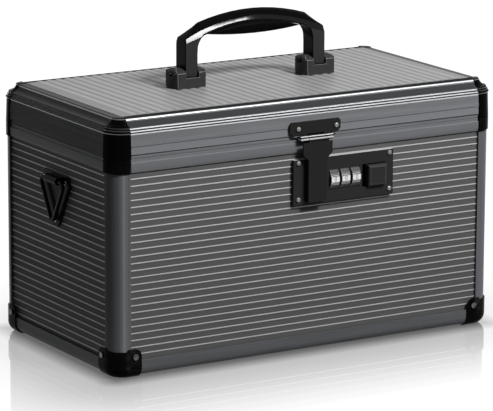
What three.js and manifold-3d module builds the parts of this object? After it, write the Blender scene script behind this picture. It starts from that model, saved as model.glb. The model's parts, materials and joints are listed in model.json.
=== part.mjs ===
import * as THREE from 'three';
import { mergeVertices } from 'three/addons/utils/BufferGeometryUtils.js';
import Module from 'manifold-3d';

const wasm = await Module();
wasm.setup();

// A lockable case of ribbed panels held in a frame of rails, posts and corner caps.
// Millimetres, +Z up, the front faces -Y, and the origin is under the middle of the case.

// Overall sizes, over the outer faces of the rails.
const caseLength = 305;
const caseDepth = 162;
const seamHeight = 150.2;
const lidHeight = 26.5;
const rimHeight = 9.5;
const flangeTop = seamHeight + lidHeight;
const rimBottom = seamHeight - rimHeight;

// Clearances, and how far every cut runs past the piece that it cuts.
const seatGap = 0.3;
const runGap = 0.3;
const overrun = 3;

// Walls that every rail and post shares: an outer lip, a slot for the panel, an inner lip.
const lipWall = 1.2;
const innerWall = 1.2;
const panelBody = 3.6;
const ribHeight = 0.4;
const slotDepth = 3.4;
const slotWidth = panelBody + ribHeight + 2 * seatGap;
const slotFar = lipWall + slotWidth;
const frameWall = slotFar + innerWall;

// Posts and bottom rails, their round outer edges, and how far the black caps stand proud.
const postRadius = 13;
const bottomReach = 11.4;
const bottomRound = 6.5;
const capProud = 1;
const railEnd = postRadius + seatGap;

// How finely round shapes are cut into flats.
const arcSteps = 4;
const rodSides = 20;

const degree = Math.PI / 180;
const alongAxisX = new THREE.Matrix4().makeBasis(
  new THREE.Vector3(0, 1, 0),
  new THREE.Vector3(0, 0, 1),
  new THREE.Vector3(1, 0, 0),
);

// Finishes, as colour, roughness and metalness.
const gunmetal = [0x6d7074, 0.38, 0.9];
const ribbedSheet = [0x55575a, 0.42, 0.85];
const topSheet = [0x9a9a9b, 0.45, 0.85];
const blackEnamel = [0x0b0b0c, 0.16, 0.3];
const satinCharcoal = [0x4b4d50, 0.4, 0.75];
const brightSteel = [0xd2d3d5, 0.2, 1];
const innerSteel = [0x8d8f92, 0.4, 0.9];
const darkMoulding = [0x151516, 0.55, 0];
const foam = [0x2b2b2d, 0.95, 0];

// Closed bodies: same points are made one, and the faces are turned outwards.
function welded(geometry) {
  const bare = geometry.clone();
  for (const name of Object.keys(bare.attributes)) {
    if (name !== 'position') {
      bare.deleteAttribute(name);
    }
  }
  const merged = mergeVertices(bare);
  const corners = Array.from(merged.index.array);
  const kept = [];
  for (let i = 0; i < corners.length; i += 3) {
    const [a, b, c] = corners.slice(i, i + 3);
    if (a !== b && b !== c && c !== a) {
      kept.push(a, b, c);
    }
  }
  merged.setIndex(volume(merged, kept) < 0 ? kept.reverse() : kept);
  return merged;
}

function volume(geometry, corners) {
  const [a, b, c] = [new THREE.Vector3(), new THREE.Vector3(), new THREE.Vector3()];
  let total = 0;
  for (let i = 0; i < corners.length; i += 3) {
    a.fromBufferAttribute(geometry.attributes.position, corners[i]);
    b.fromBufferAttribute(geometry.attributes.position, corners[i + 1]);
    c.fromBufferAttribute(geometry.attributes.position, corners[i + 2]);
    total += a.dot(b.cross(c));
  }
  return total;
}

function solidOf(geometry) {
  const body = welded(geometry);
  const vertProperties = new Float32Array(body.attributes.position.array);
  const triVerts = new Uint32Array(body.index.array);
  return new wasm.Manifold(new wasm.Mesh({ numProp: 3, vertProperties, triVerts }));
}

function geometryOf(solid) {
  const mesh = solid.getMesh();
  const geometry = new THREE.BufferGeometry();
  geometry.setAttribute('position', new THREE.Float32BufferAttribute(mesh.vertProperties, 3));
  geometry.setIndex(Array.from(mesh.triVerts));
  return geometry;
}

function join(...bodies) {
  return geometryOf(bodies.map(solidOf).reduce((whole, body) => whole.add(body)));
}

function cut(body, ...tools) {
  return geometryOf(tools.map(solidOf).reduce((left, tool) => left.subtract(tool), solidOf(body)));
}

function common(...bodies) {
  return geometryOf(bodies.map(solidOf).reduce((whole, body) => whole.intersect(body)));
}

// Outlines and the three ways of drawing them out.
function outline(points) {
  return new THREE.Shape(points.map(([across, up]) => new THREE.Vector2(across, up)));
}

function extruded(shape, length) {
  const options = { depth: length, bevelEnabled: false, curveSegments: arcSteps };
  return new THREE.ExtrudeGeometry(shape, options);
}

function alongX(shape, from, to) {
  return extruded(shape, to - from).applyMatrix4(alongAxisX).translate(from, 0, 0);
}

function alongY(shape, from, to) {
  return extruded(shape, to - from).rotateX(Math.PI / 2).translate(0, to, 0);
}

function alongZ(shape, from, to) {
  return extruded(shape, to - from).translate(0, 0, from);
}

function block([x0, x1], [y0, y1], [z0, z1]) {
  const box = new THREE.BoxGeometry(x1 - x0, y1 - y0, z1 - z0);
  return box.translate((x0 + x1) / 2, (y0 + y1) / 2, (z0 + z1) / 2);
}

// A round rod along X, from one end to the other, at a height and depth.
function rod(radius, from, to, y = 0, z = 0, sides = rodSides) {
  const cylinder = new THREE.CylinderGeometry(radius, radius, to - from, sides);
  return cylinder.rotateZ(Math.PI / 2).translate((from + to) / 2, y, z);
}

function arc([across, up], radius, from, to, steps) {
  const points = [];
  for (let i = 0; i <= steps; i += 1) {
    const angle = from + ((to - from) * i) / steps;
    points.push([across + radius * Math.cos(angle), up + radius * Math.sin(angle)]);
  }
  return points;
}

// A rectangle with all four corners rounded.
function roundedRectangle([x0, x1], [z0, z1], radius, steps = arcSteps) {
  return outline([
    ...arc([x1 - radius, z0 + radius], radius, -90 * degree, 0, steps),
    ...arc([x1 - radius, z1 - radius], radius, 0, 90 * degree, steps),
    ...arc([x0 + radius, z1 - radius], radius, 90 * degree, 180 * degree, steps),
    ...arc([x0 + radius, z0 + radius], radius, 180 * degree, 270 * degree, steps),
  ]);
}

// A closed skin over rings of points, with a flat face at each end.
function lofted(rings) {
  const count = rings[0].length;
  const corners = [];
  for (let r = 0; r + 1 < rings.length; r += 1) {
    for (let i = 0; i < count; i += 1) {
      const j = (i + 1) % count;
      const [a, b] = [r * count + i, r * count + j];
      corners.push(a, b, b + count, a, b + count, a + count);
    }
  }
  const last = (rings.length - 1) * count;
  for (let i = 1; i + 1 < count; i += 1) {
    corners.push(0, i + 1, i, last, last + i, last + i + 1);
  }
  const geometry = new THREE.BufferGeometry();
  geometry.setAttribute('position', new THREE.Float32BufferAttribute(rings.flat(2), 3));
  geometry.setIndex(corners);
  return geometry;
}

// Groups that stand for the pieces that move together.
const part = new THREE.Group();
const base = new THREE.Group();
const lid = new THREE.Group();
part.add(base, lid);

function addPiece(parent, name, geometry, [color, roughness, metalness]) {
  const material = new THREE.MeshStandardMaterial({ color, roughness, metalness, flatShading: true });
  const mesh = new THREE.Mesh(welded(geometry), material);
  mesh.geometry.computeVertexNormals();
  mesh.name = name;
  parent.add(mesh);
  return mesh;
}

function addGroup(parent, [x, y, z], turn = 0) {
  const group = new THREE.Group();
  group.position.set(x, y, z);
  group.rotation.z = turn;
  parent.add(group);
  return group;
}

// The four sides, each drawn along X with its outer face at y = 0 and the inside towards +Y.
const sides = [
  { name: 'front', run: caseLength, reach: caseDepth / 2, turn: 0 },
  { name: 'right', run: caseDepth, reach: caseLength / 2, turn: 90 * degree },
  { name: 'back', run: caseLength, reach: caseDepth / 2, turn: 180 * degree },
  { name: 'left', run: caseDepth, reach: caseLength / 2, turn: -90 * degree },
];

function onSide(parent, side) {
  const x = side.reach * Math.sin(side.turn);
  const y = -side.reach * Math.cos(side.turn);
  return addGroup(parent, [x, y, 0], side.turn);
}

// The four corners, each drawn at the origin with the inside towards +X and +Y.
const corners = [
  { name: 'front_left', x: -caseLength / 2, y: -caseDepth / 2, turn: 0 },
  { name: 'front_right', x: caseLength / 2, y: -caseDepth / 2, turn: 90 * degree },
  { name: 'back_right', x: caseLength / 2, y: caseDepth / 2, turn: 180 * degree },
  { name: 'back_left', x: -caseLength / 2, y: caseDepth / 2, turn: -90 * degree },
];

function onCorner(parent, corner) {
  return addGroup(parent, [corner.x, corner.y, 0], corner.turn);
}

// Corner posts and bottom rails: one round-edged section with a slot in each leg.
function angleOutline(reach, round) {
  const root = reach - slotDepth;
  const bend = arc([round, round], round, 270 * degree, 180 * degree, 2 * arcSteps);
  const outside = reach > round ? [[reach, 0], ...bend, [0, reach]] : bend;
  return outline([
    ...outside,
    [lipWall, reach],
    [lipWall, root],
    [slotFar, root],
    [slotFar, reach],
    [frameWall, reach],
    [frameWall, frameWall],
    [reach, frameWall],
    [reach, slotFar],
    [root, slotFar],
    [root, lipWall],
    [reach, lipWall],
  ]);
}

// The posts stop short of the floor, inside the ball corners.
const postFoot = 10;

function addPosts() {
  const geometry = alongZ(angleOutline(postRadius, postRadius), postFoot, rimBottom - seatGap);
  for (const corner of corners) {
    addPiece(onCorner(base, corner), `corner_post_${corner.name}`, geometry, gunmetal);
  }
}

function addBottomRails() {
  for (const side of sides) {
    const half = side.run / 2 - railEnd;
    const geometry = alongX(angleOutline(bottomReach, bottomRound), -half, half);
    geometry.translate(0, 0, capProud);
    addPiece(onSide(base, side), `bottom_rail_${side.name}`, geometry, gunmetal);
  }
}

// Rim rails close the base under the seam: a sloped foot over the panel, a raised band,
// a shallow groove at the seam and a tongue that stands up inside the lid.
const rimSlope = 0.9;
const rimSlopeRise = 2.4;
const rimBandRise = 6.8;
const rimSlotRise = 4.4;
const grooveDepth = 0.8;
const grooveEase = 0.5;
const tongueIn = 5;
const tongueWall = 1.6;
const tongueRise = 2;

function rimRailOutline() {
  const top = seamHeight - seatGap / 2;
  return outline([
    [rimSlope, rimBottom],
    [lipWall, rimBottom],
    [lipWall, rimBottom + rimSlotRise],
    [slotFar, rimBottom + rimSlotRise],
    [slotFar, rimBottom],
    [frameWall, rimBottom],
    [frameWall, top],
    [tongueIn + tongueWall, top],
    [tongueIn + tongueWall, top + tongueRise],
    [tongueIn, top + tongueRise],
    [tongueIn, top],
    [grooveDepth, top],
    [grooveDepth, rimBottom + rimBandRise + grooveEase],
    [0, rimBottom + rimBandRise],
    [0, rimBottom + rimSlopeRise],
  ]);
}

function addRimRails() {
  for (const side of sides) {
    const half = side.run / 2 - railEnd;
    const geometry = alongX(rimRailOutline(), -half, half);
    addPiece(onSide(base, side), `rim_rail_${side.name}`, geometry, gunmetal);
  }
}

// Black rim corners stand on the posts and hold the panels' upper corners.
function addRimCorners() {
  const outerRadius = postRadius + capProud;
  const shape = outline([
    ...arc([postRadius, postRadius], outerRadius, 270 * degree, 180 * degree, 2 * arcSteps),
    [frameWall, postRadius],
    [frameWall, frameWall],
    [postRadius, frameWall],
  ]);
  const slotRoot = postRadius - slotDepth;
  const along = [slotRoot, postRadius + overrun];
  const across = [lipWall, slotFar];
  const height = [rimBottom - overrun, rimBottom + rimSlotRise];
  const geometry = cut(
    alongZ(shape, rimBottom, seamHeight - seatGap / 2),
    block(along, across, height),
    block(across, along, height),
  );
  for (const corner of corners) {
    addPiece(onCorner(base, corner), `rim_corner_${corner.name}`, geometry, blackEnamel);
  }
}

// The lid's mouldings, from the seam upwards: groove, leaning band, plain face, three beads,
// a hollow cove, a rolled edge and a flat flange over the top panel.
const lidGrooveRise = 2.4;
const bandRise = 5.3;
const bandLean = 0.4;
const beadRise = 16.4;
const beadRadius = 0.82;
const beadPitch = 1.65;
const beadSetBack = 0.9;
const beadCount = 3;
const beadHalfAngle = 75 * degree;
const coveRadius = 6.6;
const coveAxisIn = 0.7;
const coveAxisUp = 0.9;
const coveFrom = -65 * degree;
const coveTo = -19 * degree;
const rollRadius = 1.3;
const flangeReach = 13;
const flangeWall = 1.2;
const lidWall = 4.2;
const topSlotIn = 10;
const topSlotTop = flangeTop - flangeWall;
const topSlotBottom = topSlotTop - slotWidth;
const ledgeBottom = topSlotBottom - innerWall;

function upperMoulding() {
  const points = [];
  for (let i = 0; i < beadCount; i += 1) {
    const axis = [i * beadSetBack + beadRadius, seamHeight + beadRise + beadRadius + i * beadPitch];
    const bead = arc(axis, beadRadius, 180 * degree + beadHalfAngle, 180 * degree - beadHalfAngle, 4);
    points.push(...bead);
  }
  points.push(...arc([coveAxisIn, flangeTop + coveAxisUp], coveRadius, coveFrom, coveTo, 5));
  const rollAxis = coveAxisIn + coveRadius * Math.cos(coveTo) + rollRadius;
  points.push(...arc([rollAxis, flangeTop - rollRadius], rollRadius, 180 * degree, 90 * degree, 3));
  return points;
}

function lidRailOutline() {
  const bottom = seamHeight + seatGap / 2;
  const bandBottom = seamHeight + lidGrooveRise + grooveEase;
  return outline([
    [grooveDepth, bottom],
    [grooveDepth, seamHeight + lidGrooveRise],
    [0, bandBottom],
    [bandLean, bandBottom + bandRise - bandLean],
    [0, bandBottom + bandRise],
    ...upperMoulding(),
    [flangeReach, flangeTop],
    [flangeReach, topSlotTop],
    [topSlotIn, topSlotTop],
    [topSlotIn, topSlotBottom],
    [flangeReach, topSlotBottom],
    [flangeReach, ledgeBottom],
    [lidWall, ledgeBottom],
    [lidWall, bottom],
  ]);
}

function addLidRails() {
  for (const side of sides) {
    const half = side.run / 2 - railEnd;
    addPiece(onSide(lid, side), `lid_rail_${side.name}`, alongX(lidRailOutline(), -half, half), gunmetal);
  }
}

// Black lid corners carry the same mouldings round the corner, a little proud of the rails.
const capRise = 0.4;
const capSides = 32;

function addLidCorners() {
  const outer = postRadius + capProud;
  const bottom = seamHeight + seatGap / 2;
  const top = flangeTop + capRise;
  const moulding = upperMoulding().map(([inwards, up]) => [outer - inwards, up + capRise]);
  const profile = [[0, bottom], [outer, bottom], ...moulding, [0, top]];
  const points = profile.map(([across, up]) => new THREE.Vector2(across, up));
  const turned = new THREE.LatheGeometry(points, capSides).rotateX(Math.PI / 2);
  turned.translate(postRadius, postRadius, 0);
  const span = [-capProud - overrun, postRadius];
  const inside = [lidWall, postRadius + overrun];
  const slot = [topSlotIn, postRadius + overrun];
  const geometry = cut(
    common(turned, block(span, span, [seamHeight, flangeTop + overrun])),
    block(inside, inside, [seamHeight - overrun, ledgeBottom]),
    block(slot, slot, [topSlotBottom, topSlotTop]),
  );
  for (const corner of corners) {
    addPiece(onCorner(lid, corner), `lid_corner_${corner.name}`, geometry, blackEnamel);
  }
}

// Ball corners: a shell over the ends of the rails with three round-ended tabs,
// solid where the posts and rails stop short of it.
const tabReach = 20.6;
const tabRound = 5;
const dipReach = 10;
const dipDepth = 1.6;
const blockShare = 3;

// The skin is turned round the post's axis and runs on straight over both rails.
function cornerSkin(far) {
  const round = bottomRound + capProud;
  const skirt = arc([bottomRound, round], round, 180 * degree, 270 * degree, 2 * arcSteps);
  const side = outline([[far, far], [-capProud, far], ...skirt, [far, 0]]);
  const section = [[postRadius, far], [-capProud, far], ...skirt, [postRadius, 0]].reverse();
  const points = section.map(([across, up]) => new THREE.Vector2(postRadius - across, up));
  const turned = new THREE.LatheGeometry(points, capSides).rotateX(Math.PI / 2);
  turned.translate(postRadius, postRadius, 0);
  return join(turned, alongX(side, postRadius, far), alongY(side, postRadius, far));
}

function addBottomCorners() {
  const far = blockShare * tabReach;
  const edge = -capProud - overrun;
  const tab = outline([
    [edge, edge],
    [tabReach, edge],
    ...arc([tabReach - tabRound, tabReach - tabRound], tabRound, 0, 90 * degree, arcSteps),
    [edge, tabReach],
  ]);
  const railTop = capProud + bottomReach;
  const tabs = join(
    alongX(tab, edge, railTop),
    alongY(tab, edge, railTop),
    alongZ(tab, edge, railTop),
  );
  const floor = capProud - seatGap;
  const railCurve = arc(
    [bottomRound, bottomRound + capProud],
    bottomRound + seatGap,
    270 * degree,
    180 * degree,
    2 * arcSteps,
  );
  const railSpace = outline([...railCurve, [-seatGap, far], [far, far], [far, floor]]);
  const postCurve = arc([postRadius, postRadius], postRadius + seatGap, 270 * degree, 180 * degree, 2 * arcSteps);
  const postSpace = outline([...postCurve, [-seatGap, far], [far, far], [far, -seatGap]]);
  const panelRoot = postRadius - slotDepth;
  const panelFoot = railTop - slotDepth;
  const floorRoot = bottomReach - slotDepth;
  const dip = [edge, dipReach];
  const geometry = cut(
    common(cornerSkin(far), tabs),
    alongX(railSpace, postRadius, far),
    alongY(railSpace, postRadius, far),
    alongZ(postSpace, postFoot - seatGap, far),
    block([panelRoot, far], [lipWall, far], [panelFoot, far]),
    block([lipWall, far], [panelRoot, far], [panelFoot, far]),
    block([floorRoot, far], [floorRoot, far], [capProud + lipWall, far]),
    block([frameWall, far], [frameWall, far], [capProud + frameWall, far]),
    block(dip, dip, [tabReach - dipDepth, far]),
  );
  for (const corner of corners) {
    addPiece(onCorner(base, corner), `bottom_corner_${corner.name}`, geometry, blackEnamel);
  }
}

// Side panels: boards faced with sheet that has thin raised lines along its length.
const frontRibPitch = 4.8;
const sideRibPitch = 4.9;
const ribWidth = 0.64;
const ribEase = 0.25;
const frontRibDrop = 4.35;
const sideRibDrop = 3.1;
const lastRibRise = 1.6;

function ribbedOutline(ribDrop, ribPitch) {
  const crest = lipWall + seatGap;
  const face = crest + ribHeight;
  const back = face + panelBody;
  const bottom = capProud + bottomReach - slotDepth + seatGap;
  const top = rimBottom + rimSlotRise - seatGap;
  const points = [[back, top], [face, top]];
  const lowest = capProud + bottomReach + lastRibRise;
  for (let z = rimBottom - ribDrop; z > lowest; z -= ribPitch) {
    points.push([face, z + ribWidth / 2 + ribEase]);
    points.push([crest, z + ribWidth / 2]);
    points.push([crest, z - ribWidth / 2]);
    points.push([face, z - ribWidth / 2 - ribEase]);
  }
  points.push([face, bottom], [back, bottom]);
  return outline(points);
}

function sidePanel(side, ribDrop, ribPitch) {
  const half = side.run / 2 - postRadius + slotDepth - seatGap;
  return alongX(ribbedOutline(ribDrop, ribPitch), -half, half);
}

function addSidePanels() {
  const [front, right, back, left] = sides;
  const broad = (side) => sidePanel(side, frontRibDrop, frontRibPitch);
  const narrow = (side) => sidePanel(side, sideRibDrop, sideRibPitch);
  addPiece(onSide(base, front), 'front_panel', cut(broad(front), lockOpening()), ribbedSheet);
  addPiece(onSide(base, back), 'back_panel', broad(back), ribbedSheet);
  addPiece(onSide(base, left), 'left_panel', narrow(left), ribbedSheet);
  addPiece(onSide(base, right), 'right_panel', narrow(right), ribbedSheet);
}

// Top panel: its edge runs in the lid rails' slot and its ribbed field stands over the flange.
const topRibPitch = 7.15;
const topRibWidth = 3;
const topRibEase = 0.9;
const panelRise = 0.6;
const panelCrest = flangeTop + panelRise;

function addFlatPanels() {
  const edge = topSlotIn + seatGap;
  const under = topSlotBottom + seatGap;
  const board = block(
    [edge - caseLength / 2, caseLength / 2 - edge],
    [edge - caseDepth / 2, caseDepth / 2 - edge],
    [under, topSlotTop - seatGap],
  );
  const inset = flangeReach + seatGap;
  const halfLength = caseLength / 2 - inset;
  const halfDepth = caseDepth / 2 - inset;
  const face = panelCrest - ribHeight;
  const count = Math.floor((halfLength - topRibPitch / 2) / topRibPitch);
  const points = [[-halfLength, under], [halfLength, under], [halfLength, face]];
  for (let i = count; i >= -count; i -= 1) {
    const x = i * topRibPitch;
    points.push([x + topRibWidth / 2 + topRibEase, face]);
    points.push([x + topRibWidth / 2, panelCrest]);
    points.push([x - topRibWidth / 2, panelCrest]);
    points.push([x - topRibWidth / 2 - topRibEase, face]);
  }
  points.push([-halfLength, face]);
  const field = alongY(outline(points), -halfDepth, halfDepth);
  addPiece(lid, 'lid_panel', join(board, field), topSheet);

  const floorInset = bottomReach - slotDepth + seatGap;
  const x = caseLength / 2 - floorInset;
  const y = caseDepth / 2 - floorInset;
  const z = [capProud + lipWall + seatGap, capProud + slotFar - seatGap];
  addPiece(base, 'bottom_panel', block([-x, x], [-y, y], z), ribbedSheet);
}

// Foam pads: one on the floor, one under the lid's panel.
const padThickness = 4;
const padCorner = 4;

function addPads() {
  const floorInset = bottomReach + seatGap;
  const floorX = caseLength / 2 - floorInset;
  const floorY = caseDepth / 2 - floorInset;
  const floorZ = capProud + slotFar;
  const floorShape = roundedRectangle([-floorX, floorX], [-floorY, floorY], padCorner, 2);
  addPiece(base, 'floor_pad', alongZ(floorShape, floorZ, floorZ + padThickness), foam);

  const lidInset = flangeReach + seatGap;
  const lidX = caseLength / 2 - lidInset;
  const lidY = caseDepth / 2 - lidInset;
  const lidZ = topSlotBottom;
  const lidShape = roundedRectangle([-lidX, lidX], [-lidY, lidY], padCorner, 2);
  addPiece(lid, 'lid_pad', alongZ(lidShape, lidZ - padThickness, lidZ), foam);
}

// Carrying handle: its legs swing between the ears of two brackets.
const handleMiddle = 1.9;
const legCentre = 51.65;
const legWidth = 9.9;
const legDepth = 13.3;
const pivotRise = 9.6;
const bracketFoot = panelCrest + seatGap;
const pivotHeight = bracketFoot + pivotRise;
const trunnionRadius = 1.8;
const trunnionInset = 1.6;
const legRunGap = 0.5;

// Brackets: bowed outer sides, a round-topped ear on each side of the leg, low walls before it.
const bracketHalf = 14;
const bracketSetOut = 0.8;
const bracketDepth = 17.2;
const bowRadius = 13.6;
const bracketLean = 1.2;
const earRise = 13.6;
const earRound = 5.4;
const frontLean = 0.4;
const frontRound = 1.2;
const shoulderRise = 11.6;
const crownHalf = 2.2;
const bracketFloor = 1.4;
const wallRise = 6.8;

function bracketGeometry(end) {
  const halfDepth = bracketDepth / 2;
  const bow = Math.asin(halfDepth / bowRadius);
  const plan = outline([
    ...arc([bracketHalf - bowRadius, 0], bowRadius, -bow, bow, 6),
    ...arc([bowRadius - bracketHalf, 0], bowRadius, 180 * degree - bow, 180 * degree + bow, 6),
  ]);
  const shoulder = bracketHalf - bracketLean - earRound;
  const front = outline([
    [-bracketHalf, 0],
    [bracketHalf, 0],
    ...arc([shoulder, earRise - earRound], earRound, 0, 90 * degree, 5),
    ...arc([-shoulder, earRise - earRound], earRound, 90 * degree, 180 * degree, 5),
  ]);
  const side = outline([
    [-halfDepth, 0],
    [halfDepth, 0],
    [halfDepth - frontLean, shoulderRise - frontRound],
    [halfDepth - frontLean - frontRound, shoulderRise],
    [crownHalf, earRise],
    [-crownHalf, earRise],
    [-halfDepth + frontLean + frontRound, shoulderRise],
    [-halfDepth + frontLean, shoulderRise - frontRound],
  ]);
  const past = [-halfDepth - overrun, halfDepth + overrun];
  const solid = common(
    alongZ(plan, 0, earRise),
    alongY(front, ...past),
    alongX(side, -bracketHalf - overrun, bracketHalf + overrun),
  );
  const slotHalf = legWidth / 2 + runGap;
  const slotX = [-end * bracketSetOut - slotHalf, -end * bracketSetOut + slotHalf];
  const slotY = [-legDepth / 2 - legRunGap, legDepth / 2 + legRunGap];
  return cut(
    solid,
    block(slotX, slotY, [bracketFloor, earRise + overrun]),
    block(slotX, past, [wallRise, earRise + overrun]),
    rod(trunnionRadius + runGap, -bracketHalf - overrun, bracketHalf + overrun, 0, pivotRise),
  );
}

function addBrackets() {
  for (const [name, end] of [['left', -1], ['right', 1]]) {
    const x = handleMiddle + end * (legCentre + bracketSetOut);
    addPiece(addGroup(lid, [x, 0, bracketFoot]), `handle_bracket_${name}`, bracketGeometry(end), blackEnamel);
  }
}

// The handle's frame is a skin over sections that run up a leg, over the arch and down again.
// Heights are over the lid's flange.
const crownMiddleRise = 51.2;
const crownEndRise = 44.6;
const crownHalfLength = 43.5;
const cornerRise = 34.8;
const underMiddleRise = 42.8;
const underEndRise = 37;
const gripHalf = 37;
const armpitRise = 11;
const legTopRise = 24;
const legOuter = legCentre + legWidth / 2;
const legInner = legCentre - legWidth / 2;

function crownAt(x) {
  return flangeTop + crownMiddleRise - (crownMiddleRise - crownEndRise) * (x / crownHalfLength) ** 2;
}

function underAt(x) {
  return flangeTop + underMiddleRise - (underMiddleRise - underEndRise) * (x / gripHalf) ** 2;
}

// One section between an inner and an outer point; bend is 0 on a leg and 1 on the arch.
// Shares go from the inner to the outer point, and from the middle to the full half depth.
function frameSection([innerX, innerZ], [outerX, outerZ], halfDepth, bend) {
  const blend = (legShare, archShare) => legShare + (archShare - legShare) * bend;
  const half = [
    [0, blend(0.95, 0.8)],
    [blend(0.04, 0.18), 1],
    [blend(0.96, 0.47), 1],
    [blend(1, 0.84), blend(0.95, 0.62)],
  ];
  const mirrored = half.map(([across, depth]) => [across, -depth]);
  const shares = [...mirrored, [1, 0], ...half.reverse()];
  return shares.map(([across, depth]) => [
    innerX + (outerX - innerX) * across,
    halfDepth * depth,
    innerZ + (outerZ - innerZ) * across - pivotHeight,
  ]);
}

// Inner bend between a leg and the arch, from 0 at the arch to 90 degrees on the leg.
function armpit(angle) {
  const x = gripHalf + (legInner - gripHalf) * Math.sin(angle * degree);
  const drop = armpitRise * (1 - Math.cos(angle * degree));
  return [x, flangeTop + underEndRise - drop];
}

function frameSections() {
  const half = legDepth / 2;
  const corner = flangeTop + cornerRise;
  const sections = [];
  for (const angle of [-78, -52, -26, 0]) {
    const z = pivotHeight + half * Math.sin(angle * degree);
    const depth = half * Math.cos(angle * degree);
    sections.push(frameSection([legInner, z], [legOuter, z], depth, 0));
  }
  const legTop = flangeTop + legTopRise;
  sections.push(frameSection([legInner, legTop], [legOuter, legTop], half, 0));
  sections.push(frameSection(armpit(75), [legOuter, (legTop + corner) / 2], half, 0));
  sections.push(frameSection(armpit(60), [legOuter, corner], half, 0.1));
  const crownEnd = crownAt(crownHalfLength);
  for (const [share, angle, bend] of [[0.33, 42, 0.45], [0.67, 24, 0.8]]) {
    const outer = [
      legOuter + (crownHalfLength - legOuter) * share,
      corner + (crownEnd - corner) * share,
    ];
    sections.push(frameSection(armpit(angle), outer, half, bend));
  }
  for (const share of [1, 0.8, 0.6, 0.4, 0.2]) {
    const [inner, outer] = [gripHalf * share, crownHalfLength * share];
    sections.push(frameSection([inner, underAt(inner)], [outer, crownAt(outer)], half, 1));
  }
  const middle = [frameSection([0, underAt(0)], [0, crownAt(0)], half, 1)];
  const mirrored = sections.map((ring) => ring.map(([x, y, z]) => [-x, y, z]));
  return [...sections, ...middle, ...mirrored.reverse()];
}

// The belly grip closes the arch from below, full in the middle and thin at its ends.
const gripMiddleRise = 33.3;
const gripEndRise = 36;
const gripWidth = 13.4;
const gripEndWidth = 8;

function gripSections() {
  const sections = [];
  const reach = gripHalf - seatGap;
  for (const share of [-1, -0.94, -0.84, -0.7, -0.5, -0.25, 0, 0.25, 0.5, 0.7, 0.84, 0.94, 1]) {
    const x = reach * share;
    const top = underAt(x) - seatGap - pivotHeight;
    const bottom = flangeTop + gripMiddleRise + (gripEndRise - gripMiddleRise) * share ** 2 - pivotHeight;
    const half = (gripEndWidth + (gripWidth - gripEndWidth) * Math.sqrt(1 - share ** 2)) / 2;
    const shares = [
      [-0.8, 0],
      [-1, 0.2],
      [-0.92, 0.6],
      [-0.55, 0.92],
      [0, 1],
      [0.55, 0.92],
      [0.92, 0.6],
      [1, 0.2],
      [0.8, 0],
    ];
    sections.push(shares.map(([across, down]) => [x, half * across, top + (bottom - top) * down]));
  }
  return sections;
}

function addHandle() {
  const handle = addGroup(lid, [handleMiddle, 0, pivotHeight]);
  const middle = legCentre + bracketSetOut;
  const reach = bracketHalf - trunnionInset;
  const frame = join(
    lofted(frameSections()),
    rod(trunnionRadius, middle - reach, middle + reach),
    rod(trunnionRadius, -middle - reach, -middle + reach),
  );
  addPiece(handle, 'handle_frame', frame, blackEnamel);
  addPiece(handle, 'handle_grip', lofted(gripSections()), darkMoulding);
}

// Lock plate on the front panel, with its windows, measured from the hasp's middle.
const haspMiddle = 3.2;
const plateLeft = -16.8;
const plateRight = 64.2;
const plateDrop = 13.8;
const plateHeight = 32;
const plateTop = seamHeight - plateDrop;
const plateBottom = plateTop - plateHeight;
const plateWall = 2.2;
const plateRound = 1;
const plateBack = lipWall;
const plateFront = plateBack - plateWall;

// Number wheels behind three windows.
const wheelRadius = 9;
const wheelWidth = 6.6;
const wheelPitch = 8.6;
const wheelProud = 2.6;
const wheelRise = 15.5;
const wheelHeight = plateBottom + wheelRise;
const firstWheel = 15.7;
const wheelCount = 3;
const wheelAxisY = plateFront - wheelProud + wheelRadius;
const shaftRadius = 2;
const digitCount = 10;
const notchDepth = 0.7;
const windowSides = 48;

function wheelOutline() {
  const shape = new THREE.Shape();
  const step = (360 / digitCount) * degree;
  const notch = wheelRadius - notchDepth;
  for (let i = 0; i < digitCount; i += 1) {
    const middle = i * step;
    for (const [share, radius] of [[-0.46, notch], [-0.34, wheelRadius], [0.34, wheelRadius], [0.46, notch]]) {
      const angle = middle + share * step;
      const [y, z] = [radius * Math.cos(angle), radius * Math.sin(angle)];
      if (i === 0 && share === -0.46) {
        shape.moveTo(y, z);
      } else {
        shape.lineTo(y, z);
      }
    }
  }
  shape.holes.push(new THREE.Path().absarc(0, 0, shaftRadius + runGap, 0, 360 * degree, true));
  return shape;
}

function addWheels() {
  for (let i = 0; i < wheelCount; i += 1) {
    const x = firstWheel + i * wheelPitch + wheelWidth / 2;
    const wheel = addGroup(base, [x, wheelAxisY - caseDepth / 2, wheelHeight]);
    const geometry = alongX(wheelOutline(), -wheelWidth / 2, wheelWidth / 2);
    addPiece(wheel, `number_wheel_${i + 1}`, geometry, brightSteel);
  }
}

// Sliding button, drawn at the right end of its window.
const buttonLeft = 45.7;
const buttonWidth = 14.8;
const buttonRise = 7.7;
const buttonBottom = plateBottom + buttonRise;
const buttonHeight = 14.8;
const buttonProud = 3.5;
const buttonTravel = 3.3;
const buttonChamfer = 1.2;
const buttonFlange = 1.6;
const buttonWindowGap = 0.7;

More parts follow.
